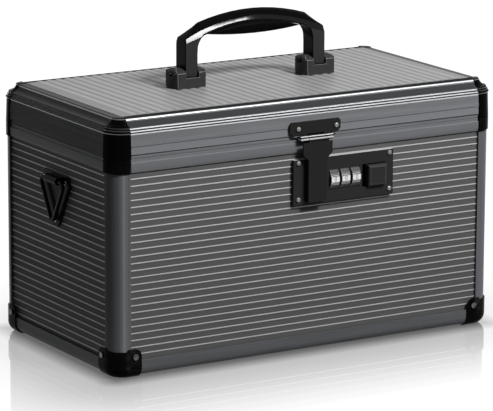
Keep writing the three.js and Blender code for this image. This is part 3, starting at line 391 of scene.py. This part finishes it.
# Painted shade: the short rails at the ends get a darker gunmetal than the long ones.
gunmetal_long = gunmetal_drawn("gunmetal_long", gunmetal, along_x)
gunmetal_short_shaded = gunmetal_drawn("gunmetal_short_shaded", dark_gunmetal, along_y)
rail_metal = {
    "front": gunmetal_long, "back": gunmetal_long,
    "left": gunmetal_short_shaded, "right": gunmetal_short_shaded,
}
for side in side_names:
    refined(f"rim_rail_{side}", "metal", rail_metal[side], "gunmetal", 0.0002)


# Rim corners: die-cast zinc, stove enamelled in gloss black, pressed on the tops of the posts.
# The enamel has run a little thin on the edges, and their lighter patches are partly a painted glint.
enamel_black = (0.0018, 0.0018, 0.0019)
enamel = finish("black_enamel", enamel_black, 0.16, specular=0.012, tone=0.2, relief=0.000004,
                wear_glint_colour=(0.05, 0.05, 0.05), wear_glint_amount=0.3)
for corner in corner_names:
    refined(f"rim_corner_{corner}", "enamel", enamel, "black_enamel", 0.0004, steps=3)


# Ball corners: drawn steel shells in gloss black over the three edges that meet at the foot,
# with a dip between their tabs. A domed rivet through each tab holds them to the rails.
def domed_rivet(radius, height):
    """A rivet head that stands on the XY plane: a short collar and a dome towards +Z."""
    collar, dome = height * 0.5, height * 0.75
    bpy.ops.object.select_all(action="DESELECT")
    bpy.ops.mesh.primitive_cylinder_add(vertices=28, radius=radius, depth=collar)
    head = bpy.context.object
    for face in head.data.polygons:
        face.select = face.normal.z > 0.9
    bpy.ops.object.mode_set(mode="EDIT")
    bpy.ops.mesh.select_mode(type="FACE")
    angles = (0, 22, 42, 60, 75, 84)
    for before, after in zip(angles, angles[1:]):
        inwards = radius * (math.cos(math.radians(before)) - math.cos(math.radians(after)))
        rise = dome * (math.sin(math.radians(after)) - math.sin(math.radians(before)))
        bpy.ops.mesh.inset(thickness=inwards)
        bpy.ops.transform.translate(value=(0, 0, rise))
    bpy.ops.object.mode_set(mode="OBJECT")
    head.data.transform(Matrix.Translation((0, 0, collar / 2)))
    bpy.ops.object.shade_smooth_by_angle(angle=math.radians(50))
    shape = head.data
    bpy.data.objects.remove(head)
    return shape


def placed(shape, name, place, outwards, material, body):
    """A copy of a shape with its own mesh, set on a face that looks outwards."""
    piece = bpy.data.objects.new(name, shape.copy())
    bpy.context.scene.collection.objects.link(piece)
    aim = Vector(outwards).to_track_quat("Z", "Y").to_matrix().to_4x4()
    piece.data.transform(Matrix.Translation(place) @ aim)
    piece.data.materials.clear()
    piece.data.materials.append(material)
    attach(piece, body)


gloss = finish("black_gloss", enamel_black, 0.12, specular=0.015, tone=0.2, relief=0.000003,
               wear_glint_colour=(0.06, 0.06, 0.06), wear_glint_amount=0.3)
for corner in corner_names:
    refined(f"bottom_corner_{corner}", "shell", gloss, "black_enamel", 0.0004, steps=3)
black_rivet = finish("black_rivet", (0.02, 0.02, 0.02), 0.18, metallic=0.6, tone=0.15,
                     wear_glint_colour=(0.4, 0.4, 0.4), wear_glint_amount=0.6)
shell_rivet = domed_rivet(radius=0.0021, height=0.0009)
shell_x, shell_y = 0.1534, 0.0819
rivet_x, rivet_y, rivet_z = 0.1371, 0.0656, 0.0154
for corner in corner_names:
    sign_x = 1 if "right" in corner else -1
    sign_y = 1 if "back" in corner else -1
    placed(shell_rivet, f"shell_rivet_end_{corner}", (shell_x * sign_x, rivet_y * sign_y, rivet_z),
           (sign_x, 0, 0), black_rivet, "case_base")
    placed(shell_rivet, f"shell_rivet_face_{corner}", (rivet_x * sign_x, shell_y * sign_y, rivet_z),
           (0, sign_y, 0), black_rivet, "case_base")


# Side panels: thin boards faced with dark lacquered aluminium sheet. The sheet has rolled ribs,
# whose crests are cut bright. The sheet is painted darker towards the foot as shade. The inner
# face is lined with dark cloth.
def ribbed_sheet(name, axis, crest_place, face_place, lining_place, grain):
    """A sheet whose finish changes with the distance from the box's middle along one axis."""
    material = finish(name, (0.112, 0.112, 0.113), 0.5, specular=0.03, grain=grain, tone=0.06)
    tree = material.node_tree
    shader = tree.nodes["Principled BSDF"]
    lacquer = shader.inputs["Base Color"].links[0].from_socket
    place = add_node(tree, "ShaderNodeTexCoord")
    parts = add_node(tree, "ShaderNodeSeparateXYZ", {0: place.outputs["Object"]})
    depth = worked(tree, "ABSOLUTE", parts.outputs[axis])
    cut = ramp(tree, depth, face_place + 0.00012, crest_place - 0.00008)
    lining = ramp(tree, depth, lining_place + 0.0002, lining_place + 0.0003, 1.0, 0.0)
    with_crest = blended(tree, cut, lacquer, (0.46, 0.46, 0.465, 1))
    # Painted shade: the sheet is darker towards the foot and lighter towards the rim.
    foot_height, rim_height = 0.015, 0.145
    painted_shade_to_foot = ramp(tree, parts.outputs["Z"], foot_height, rim_height, 0.80, 1.14)
    shaded = blended(tree, 1.0, with_crest, painted_shade_to_foot, blend_type="MULTIPLY")
    weave = noise(tree, place.outputs["Object"], 2600.0, 2.0)
    cloth = blended(tree, weave, (0.012, 0.012, 0.013, 1), (0.045, 0.045, 0.048, 1))
    tree.links.new(blended(tree, lining, shaded, cloth), shader.inputs["Base Color"])
    rough_sheet = shader.inputs["Roughness"].links[0].from_socket
    rough = add_node(tree, "ShaderNodeMix", {0: lining, 2: rough_sheet, 3: 0.95}, data_type="FLOAT")
    tree.links.new(rough.outputs[0], shader.inputs["Roughness"])
    tree.links.new(worked(tree, "MULTIPLY", cut, 0.18), shader.inputs["Metallic"])
    return material


sheet_long = ribbed_sheet("ribbed_sheet_long", "Y", grain=along_x,
                          crest_place=0.0795, face_place=0.0791, lining_place=0.0755)
sheet_short = ribbed_sheet("ribbed_sheet_short", "X", grain=along_y,
                           crest_place=0.1510, face_place=0.1506, lining_place=0.1470)
panel_sheet = {"front": sheet_long, "back": sheet_long, "left": sheet_short, "right": sheet_short}
for side, sheet in panel_sheet.items():
    refined(f"{side}_panel", "sheet", sheet, "ribbed_sheet", 0.00008)


# Bottom panel: a plain board of the same stuff between the bottom rails, seen only from below.
# It is slid in from one end before the last rail goes on.
def coloured(node, material):
    """Gives its finish to a form that is shown as the solid has it."""
    form = frame["nodes"][node]
    form.data.materials.clear()
    form.data.materials.append(material)


board = finish("bottom_board", (0.05, 0.05, 0.052), 0.6, specular=0.3, grain=along_x, tone=0.12)
coloured("bottom_panel", board)


# Floor pad and lid pad: closed-cell foam sheets with a knitted face, cut with round corners and
# laid loose in the base, or glued under the lid. Their edges are soft and they lie a little uneven.
def foam_finish():
    """A knit of fine rows and courses in near-black yarn."""
    material = bpy.data.materials.new("foam_knit")
    material.use_nodes = True
    tree = material.node_tree
    shader = tree.nodes["Principled BSDF"]
    place = add_node(tree, "ShaderNodeTexCoord").outputs["Object"]
    yarn = {"Vector": place, "Scale": 170.0, "Distortion": 1.2, "Detail": 1.0, "Detail Scale": 3.0}
    rows = add_node(tree, "ShaderNodeTexWave", yarn, bands_direction="X")
    courses = add_node(tree, "ShaderNodeTexWave", yarn, bands_direction="Y")
    knit = worked(tree, "MULTIPLY", rows.outputs["Fac"], courses.outputs["Fac"])
    shade = worked(tree, "MULTIPLY", knit, noise(tree, place, 24.0, 3.0))
    colour = blended(tree, shade, (0.014, 0.014, 0.015, 1), (0.085, 0.085, 0.09, 1))
    bump = add_node(tree, "ShaderNodeBump", {"Height": knit, "Strength": 0.6, "Distance": 0.0002})
    tree.links.new(colour, shader.inputs["Base Color"])
    tree.links.new(bump.outputs[0], shader.inputs["Normal"])
    shader.inputs["Roughness"].default_value = 0.95
    shader.inputs["Specular IOR Level"].default_value = 0.2
    shader.inputs["Sheen Weight"].default_value = 0.25
    return material


foam = foam_finish()
unevenness = bpy.data.textures.new("foam_unevenness", "CLOUDS")
unevenness.noise_scale = 0.06
corner_radius, edge_radius, grid = 0.004, 0.0014, 0.0012


def foam_sheet(name, node, body):
    """A soft-edged sheet inside the node's box."""
    low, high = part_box(node)
    size = high - low
    bpy.ops.object.select_all(action="DESELECT")
    bpy.ops.mesh.primitive_cube_add(size=1, location=(low + high) / 2, scale=size * 0.998)
    piece = bpy.context.object
    piece.name = name
    bpy.ops.object.transform_apply(location=True, rotation=True, scale=True)
    for edge in piece.data.edges:
        first, second = (piece.data.vertices[index].co for index in edge.vertices)
        edge.select = abs(first.z - second.z) > size.z / 2
    bpy.ops.object.mode_set(mode="EDIT")
    bpy.ops.mesh.select_mode(type="EDGE")
    bpy.ops.mesh.bevel(offset=corner_radius, segments=5)
    bpy.ops.mesh.select_all(action="DESELECT")
    bpy.ops.object.mode_set(mode="OBJECT")
    flat_faces = [set(face.vertices) for face in piece.data.polygons if abs(face.normal.z) > 0.9]
    for edge in piece.data.edges:
        edge.select = any(set(edge.vertices) <= face for face in flat_faces)
    bpy.ops.object.mode_set(mode="EDIT")
    bpy.ops.mesh.bevel(offset=edge_radius, segments=4)
    bpy.ops.object.mode_set(mode="OBJECT")
    remesh = piece.modifiers.new("even_mesh", "REMESH")
    remesh.mode, remesh.voxel_size = "VOXEL", grid
    bpy.ops.object.modifier_apply(modifier="even_mesh")
    ripple = piece.modifiers.new("ripple", "DISPLACE")
    ripple.texture, ripple.strength, ripple.mid_level = unevenness, 0.0006, 0.85
    ripple.texture_coords = "LOCAL"
    bpy.ops.object.modifier_apply(modifier="ripple")
    thin = piece.modifiers.new("thin", "DECIMATE")
    thin.ratio = 0.35
    bpy.ops.object.modifier_apply(modifier="thin")
    bpy.ops.object.shade_smooth()
    piece.data.materials.append(foam)
    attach(piece, body)
    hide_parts(node)


foam_sheet("floor_foam", "floor_pad", "case_base")
foam_sheet("lid_foam", "lid_pad", "lid")


# Lid rails: one extrusion with a groove at the seam, a leaning band, a plain face, three beads,
# a cove and a rolled edge. Its flange is folded over the edge of the top panel.
def lid_finish(name, colour, grain, painted_highlight, specular):
    """Gunmetal with a painted highlight on the roll and beads, painted shade in the cove, on the flange
    and in the grooves, and a leaning band painted lighter.
    """
    material = finish(name, colour, 0.3, specular=specular, grain=grain, tone=0.03,
                      wear_glint_colour=edge_wear_glint_colour, wear_glint_amount=0.15)
    lit_leaning_band = ((0.15555, 0.0024),)
    cove = ((0.1727, 0.0017),)
    shaded_flange_and_grooves = ((0.17785, 0.0017), (0.16938, 0.00035), (0.16775, 0.00035))
    highlight_tail_under_roll = ((0.1750, 0.0004),)
    highlighted_roll_and_beads = ((0.1757, 0.0004), (0.1702, 0.00035), (0.16855, 0.00035), (0.16685, 0.00045))
    # Painted light: the leaning band lighter, the cove, flange and grooves darker as shade, and the roll
    # and beads bright as a highlight, with a dimmer tail under the roll.
    banded(material, "Z", lit_leaning_band, tuple(1.22 * part for part in colour))
    banded(material, "Z", cove, (0.050, 0.051, 0.053))
    banded(material, "Z", shaded_flange_and_grooves, (0.030, 0.031, 0.033))
    banded(material, "Z", highlight_tail_under_roll, tuple(0.24 * part for part in painted_highlight))
    painted_highlight_mask = banded(material, "Z", highlighted_roll_and_beads, painted_highlight)
    tree = material.node_tree
    with_glint = worked(tree, "MULTIPLY", painted_highlight_mask, 0.6)
    tree.links.new(with_glint, tree.nodes["Principled BSDF"].inputs["Metallic"])
    return material


lid_long = lid_finish("lid_metal_long", gunmetal, along_x, (0.90, 0.91, 0.92), 0.0)
# Painted shade: the short rails at the ends are darker, with a dim painted highlight.
lid_short_shaded = lid_finish("lid_metal_short_shaded", (0.085, 0.088, 0.092), along_y, (0.22, 0.222, 0.225), 0.02)
lid_metal = {"front": lid_long, "back": lid_long, "left": lid_short_shaded, "right": lid_short_shaded}
for side in side_names:
    refined(f"lid_rail_{side}", "metal", lid_metal[side], "gunmetal", 0.00022)


# Lid corners: die-cast zinc with the rails' mouldings turned round the corner, gloss black.
# They are pressed over the mitred ends of the rails.
cast_gloss = finish("cast_gloss", enamel_black, 0.14, specular=0.01, tone=0.2, relief=0.000003)
# Painted highlight: the crests of the turned mouldings are lighter, under a coat.
cast_crests = ((0.1762, 0.0003), (0.1707, 0.0004), (0.1691, 0.0004), (0.1674, 0.0004))
painted_crest_highlight = banded(cast_gloss, "Z", cast_crests, (0.14, 0.14, 0.142))
cast_tree = cast_gloss.node_tree
cast_shader = cast_tree.nodes["Principled BSDF"]
cast_tree.links.new(worked(cast_tree, "MULTIPLY", painted_crest_highlight, 0.3), cast_shader.inputs["Metallic"])
cast_tree.links.new(painted_crest_highlight, cast_shader.inputs["Coat Weight"])
for corner in corner_names:
    refined(f"lid_corner_{corner}", "enamel", cast_gloss, "black_enamel", 0.0003)


# Top panel: a board faced with pale satin sheet, rolled into broad shallow ribs across its width.
# Its edge lies in the lid rails' slot, and foam is glued under it.
def top_finish():
    """Pale satin sheet, painted a little darker in the grooves between its ribs as shade."""
    material = finish("top_sheet", (0.38, 0.38, 0.383), 0.42, specular=0.08, grain=along_y, tone=0.04)
    tree = material.node_tree
    shader = tree.nodes["Principled BSDF"]
    sheet_colour = shader.inputs["Base Color"].links[0].from_socket
    place = add_node(tree, "ShaderNodeTexCoord")
    parts = add_node(tree, "ShaderNodeSeparateXYZ", {0: place.outputs["Object"]})
    groove_height, rib_height = 0.17692, 0.17728
    height = ramp(tree, parts.outputs["Z"], groove_height, rib_height)
    painted_groove_shade = blended(tree, height, (0.26, 0.26, 0.262, 1), sheet_colour)
    tree.links.new(painted_groove_shade, shader.inputs["Base Color"])
    return material


refined("lid_panel", "sheet", top_finish(), "top_sheet", 0.00012)


# Handle brackets: die-cast shoes in black enamel, bowed at the ends, with an ear on each side
# of the leg. Screws from under the lid hold them down, so none shows.
bracket_black = finish("bracket_black", (0.042, 0.042, 0.043), 0.24, specular=0.02, tone=0.05,
                       relief=0.000004)
# Painted highlight: the rounded edges of the brackets get a light finish of their own.
bracket_edge_glint = finish("bracket_edge_glint", (0.42, 0.42, 0.425), 0.25, specular=0.3, tone=0.2,
                      relief=0.000004)
for end in ("left", "right"):
    refined(f"handle_bracket_{end}", "enamel", bracket_black, "black_enamel", 0.0004,
            crease=34, smooth=28, rubbed=bracket_edge_glint)


# Handle frame: a die-cast arch in black gloss with a brow that leans back above a fold, and two
# flat legs. Stub pins cast on the legs turn in the brackets. The arch is cut across in steps so
# that its leaning face can follow the curve.
handle_black = (0.0025, 0.0025, 0.0027)
handle_gloss = finish("handle_gloss", handle_black, 0.12, specular=0.02, relief=0.000003)
handle_front_painted_light = finish("handle_front_painted_light", (0.032, 0.032, 0.033), 0.3, specular=0.06, tone=0.05,
                     relief=0.000004)
handle_brow = finish("handle_brow", handle_black, 0.08, specular=0.14, relief=0.000002)
arch = refined("handle_frame", "gloss", handle_gloss, "black_gloss", 0.0005, crease=20, smooth=40)
fold_end, fold_cuts = 0.037, 5
fold_middle_height, fold_drop, fold_end_height, leg_slope = 0.2195, 0.0058, 0.2137, 0.308
arch_end, brow_height, brow_growth = 0.0435, 0.0084, 0.0012
lower_share, lower_lean = 0.47, 0.31
upper_share, upper_lean = 0.37, 0.13
lower_face_height = 0.0041


def fold_height(x):
    """Where the arch's brow begins: the inner arc, then a line across each leg's top."""
    if abs(x) > fold_end:
        return fold_end_height - leg_slope * (abs(x) - fold_end)
    return fold_middle_height - fold_drop * (x / fold_end) ** 2


def lean_at(x, z):
    """The share of a point's depth that the brow's lean takes away, more in its lower part."""
    share = (z - fold_height(x)) / (brow_height + brow_growth * min(abs(x) / arch_end, 1) ** 2)
    lower = min(max(share / lower_share, 0), 1)
    upper = min(max((share - lower_share) / upper_share, 0), 1)
    return lower_lean * lower + upper_lean * upper


only(arch)
bpy.ops.object.mode_set(mode="EDIT")
for step in range(-fold_cuts, fold_cuts + 1):
    bpy.ops.mesh.select_all(action="SELECT")
    bpy.ops.mesh.bisect(plane_co=(fold_end / fold_cuts * step, 0, 0), plane_no=(1, 0, 0))
bpy.ops.mesh.select_all(action="DESELECT")
for sign in (-1, 1):
    bpy.ops.object.mode_set(mode="OBJECT")
    for face in arch.data.polygons:
        face.select = face.center.x * sign > fold_end
    bpy.ops.object.mode_set(mode="EDIT")
    bpy.ops.mesh.bisect(plane_co=(fold_end * sign, 0, fold_end_height), plane_no=(leg_slope * sign, 0, 1))
    bpy.ops.mesh.mark_sharp()
bpy.ops.mesh.customdata_custom_splitnormals_clear()
bpy.ops.object.mode_set(mode="OBJECT")
for vertex in arch.data.vertices:
    vertex.co.y *= 1 - lean_at(vertex.co.x, vertex.co.z)
evened(arch, smooth=32)
arch.data.materials.append(handle_front_painted_light)
arch.data.materials.append(handle_brow)
# Painted light: the faces that look straight to the front get a lighter black than the rest.
for face in arch.data.polygons:
    above_fold = face.center.z - fold_height(face.center.x)
    faces_front, leans_back = face.normal.y < -0.97, -0.97 <= face.normal.y < -0.8
    if faces_front:
        face.material_index = 1
    elif leans_back and 0 < above_fold < lower_face_height:
        face.material_index = 2
pin_dome = domed_rivet(radius=0.0021, height=0.0012)
pin_reach, pin_height = 0.0124, 0.1872
for hand, middle in (("left", -0.05055), ("right", 0.05435)):
    for side, sign in (("out", -1), ("in", 1)):
        placed(pin_dome, f"pivot_dome_{hand}_{side}", (middle + pin_reach * sign, 0, pin_height),
               (sign, 0, 0), handle_brow, "handle")


# Handle grip: a moulded belly of hard rubber that fills the underside of the arch.
# It is pushed on from below and its skin is fine-grained.
moulding = finish("black_moulding", (0.003, 0.003, 0.0032), 0.28, specular=0.02, tone=0.2,
                  relief=0.00002)
refined("handle_grip", "moulding", moulding, "black_moulding", 0.0005, crease=20)


# Lock plate: pressed steel in satin charcoal powder coat with a painted highlight along the upper
# edge, with a window for each dial and one for the button. Four domed steel rivets hold it to
# the front panel.
plate_coat = finish("plate_coat", (0.024, 0.024, 0.025), 0.4, specular=0.06, tone=0.02,
                    relief=0.000006)
upper_edge_glint_height = 0.1364
banded(plate_coat, "Z", ((upper_edge_glint_height, 0.0003),), (0.50, 0.50, 0.505))
refined("lock_plate", "coat", plate_coat, "satin_charcoal", 0.0003)
rivet_steel = finish("rivet_steel", (0.17, 0.17, 0.173), 0.22, metallic=0.3, specular=1.0)
face_rivet = domed_rivet(radius=0.00175, height=0.0011)
lock_front = -0.0820
lock_rivet_places = [(x, z) for x in (-0.0098, 0.0640) for z in (0.1085, 0.1339)]
for index, (x, z) in enumerate(lock_rivet_places, 1):
    placed(face_rivet, f"lock_rivet_{index}", (x, lock_front, z), (0, -1, 0), rivet_steel,
           "case_base")


# Lock housing, shaft and slider: a black moulded tray behind the plate, a steel shaft that the
# dials turn on, and the sliding latch that the button pushes into the hasp.
dark_tray = finish("tray_black", (0.008, 0.008, 0.0085), 0.6, specular=0.2, tone=0.2, relief=0.00002)
refined("lock_housing", "moulding", dark_tray, "black_moulding", 0.00015)
plain_steel = finish("plain_steel", (0.32, 0.32, 0.33), 0.35, metallic=0.85, grain=along_x)
coloured("wheel_shaft", plain_steel)
coloured("latch_slider", plain_steel)


# Number wheels: turned and knurled steel drums with ten flats, each with a numeral in dark
# paint. They are stacked on the shaft.
dial_steel_shaded = finish("dial_steel_shaded", (0.05, 0.05, 0.051), 0.3, metallic=0.2, specular=0.2, grain=along_x,
                    tone=0.08, relief=0.000006)
dial_front_flat_lit = finish("dial_front_flat_lit", (0.80, 0.80, 0.81), 0.25, metallic=0.5, grain=along_x, tone=0.12,
                   relief=0.000004)
dial_edge_glint = finish("dial_edge_glint", (0.40, 0.40, 0.405), 0.2, metallic=0.5, tone=0.05, relief=0.000003)
numeral_paint = finish("numeral_paint", (0.06, 0.06, 0.062), 0.5, specular=0.3, tone=0.2)
drum_radius, digit_angle, flat_share = 0.009, 36, 0.34
flat_distance = drum_radius * math.cos(math.radians(flat_share * digit_angle))
paint_height = 0.00001


def numerals(name, middle, body):
    """The ten numerals round one wheel, upright where they face the front."""
    made = []
    for value in range(10):
        angle = math.radians(180 + digit_angle * value)
        outwards = Vector((0, math.cos(angle), math.sin(angle)))
        up = Vector((0, math.sin(angle), -math.cos(angle)))
        bpy.ops.object.select_all(action="DESELECT")
        bpy.ops.object.text_add()
        text = bpy.context.object
        text.data.body = str(value)
        text.data.size = 0.0046
        text.data.extrude = 0.00003
        text.data.resolution_u = 4
        text.data.align_x, text.data.align_y = "CENTER", "CENTER"
        bpy.ops.object.convert(target="MESH")
        text = bpy.context.object
        turn = Matrix((Vector((1, 0, 0)), up, outwards)).transposed().to_4x4()
        place = middle + outwards * (flat_distance + paint_height)
        text.data.transform(Matrix.Translation(place) @ turn)
        made.append(text)
    only(*made)
    bpy.ops.object.join()
    piece = bpy.context.object
    piece.name = name
    bpy.ops.object.mode_set(mode="EDIT")
    bpy.ops.mesh.select_all(action="SELECT")
    bpy.ops.mesh.remove_doubles(threshold=weld_distance)
    bpy.ops.object.mode_set(mode="OBJECT")
    piece.data.materials.clear()
    piece.data.materials.append(numeral_paint)
    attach(piece, body)


# Painted light: the flat that faces the front at rest is bright, the other flats are dark as shade, and
# the rounded edges are light as glints.
for number in (1, 2, 3):
    drum = refined(f"number_wheel_{number}", "drum", dial_steel_shaded, "bright_steel", 0.00016,
                   rubbed=dial_edge_glint)
    drum.data.materials.append(dial_front_flat_lit)
    for face in drum.data.polygons:
        if face.normal.y < -0.99:
            face.material_index = 2
    low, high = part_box(f"number_wheel_{number}")
    numerals(f"wheel_numerals_{number}", (low + high) / 2, f"wheel_{number}")


# Release button: a square cast key in the plate's charcoal coat with a pillowed edge.
# It slides in its window and drives the latch.
charcoal = finish("satin_charcoal", (0.027, 0.027, 0.028), 0.4, specular=0.06, tone=0.02,
                  relief=0.000006)
# Painted highlight: the rounded edge of the button is a little lighter.
button_edge_glint = finish("button_edge_glint", (0.05, 0.05, 0.051), 0.35, specular=0.1, tone=0.05,
                     relief=0.000006)
refined("release_button", "coat", charcoal, "satin_charcoal", 0.0005, steps=3, rubbed=button_edge_glint)


# Hasp plate: pressed steel with a knuckle at each end of the barrel, in a black coat with a
# painted highlight along the barrel and the knuckle edges. Two domed rivets hold it to the lid's front
# rail.
rubbed_black = finish("rubbed_black", (0.0165, 0.0165, 0.017), 0.32, specular=0.06, tone=0.03,
                      relief=0.000006)
# Painted highlight: light bands on the barrel and along the knuckles' edge.
barrel_crest, knuckle_edge = (0.15055, 0.0006), (0.15245, 0.00022)
banded(rubbed_black, "Z", (barrel_crest, knuckle_edge), (0.75, 0.75, 0.76))
refined("hasp_plate", "coat", rubbed_black, "satin_charcoal", 0.0003)
hasp_front, hasp_rivet_height = -0.0827, 0.1577
for index, x in enumerate((-0.0105, 0.0199), 1):
    placed(face_rivet, f"hasp_rivet_{index}", (x, hasp_front, hasp_rivet_height), (0, -1, 0),
           rivet_steel, "lid")


# Hasp strap: sheet steel folded to a channel over the latch, hung from a rolled barrel.
# The barrel turns on a pin between the plate's knuckles.
# The strap carries the same painted highlight along its barrel.
refined("hasp_strap", "coat", rubbed_black, "satin_charcoal", 0.0004, steps=3)


# Hinges: two steel butt hinges across the seam at the back, in gunmetal plate, with three
# domed rivets in each leaf and a loose steel pin.
hinge_rivet = domed_rivet(radius=0.0016, height=0.0008)
leaf_back, rivet_spread = 0.0825, 0.0135
leaves = (("base", 0.1444, "case_base"), ("lid", 0.1570, "lid"))
for hand, middle in (("left", -0.095), ("right", 0.095)):
    refined(f"hinge_leaf_base_{hand}", "plate", gunmetal_long, "gunmetal", 0.00025)
    refined(f"hinge_leaf_lid_{hand}", "plate", gunmetal_long, "gunmetal", 0.00025)
    coloured(f"hinge_pin_{hand}", plain_steel)
    for index, x in enumerate((middle - rivet_spread, middle, middle + rivet_spread), 1):
        for leaf, height, body in leaves:
            placed(hinge_rivet, f"hinge_rivet_{leaf}_{hand}_{index}", (x, leaf_back, height),
                   (0, 1, 0), rivet_steel, body)


# Ring plates and strap rings: a tapered black plate with a rolled eye on each end of the box,
# riveted at three points, and a bent wire loop that swings in the eye.
plate_rivet = domed_rivet(radius=0.0016, height=0.0007)
ring_black = finish("ring_black", (0.006, 0.006, 0.0062), 0.24, specular=0.02, tone=0.05,
                    relief=0.000004)
ring_plate_x = 0.1528
plate_rivet_places = ((-0.0145, 0.1229), (0.0145, 0.1229), (0, 0.0947))
for hand, sign in (("left", -1), ("right", 1)):
    refined(f"ring_plate_{hand}", "enamel", ring_black, "black_enamel", 0.0003)
    refined(f"strap_ring_{hand}", "wire", handle_gloss, "black_enamel", 0.0001, crease=60)
    for index, (y, z) in enumerate(plate_rivet_places, 1):
        placed(plate_rivet, f"plate_rivet_{hand}_{index}", (ring_plate_x * sign, y, z), (sign, 0, 0),
               black_rivet, "case_base")
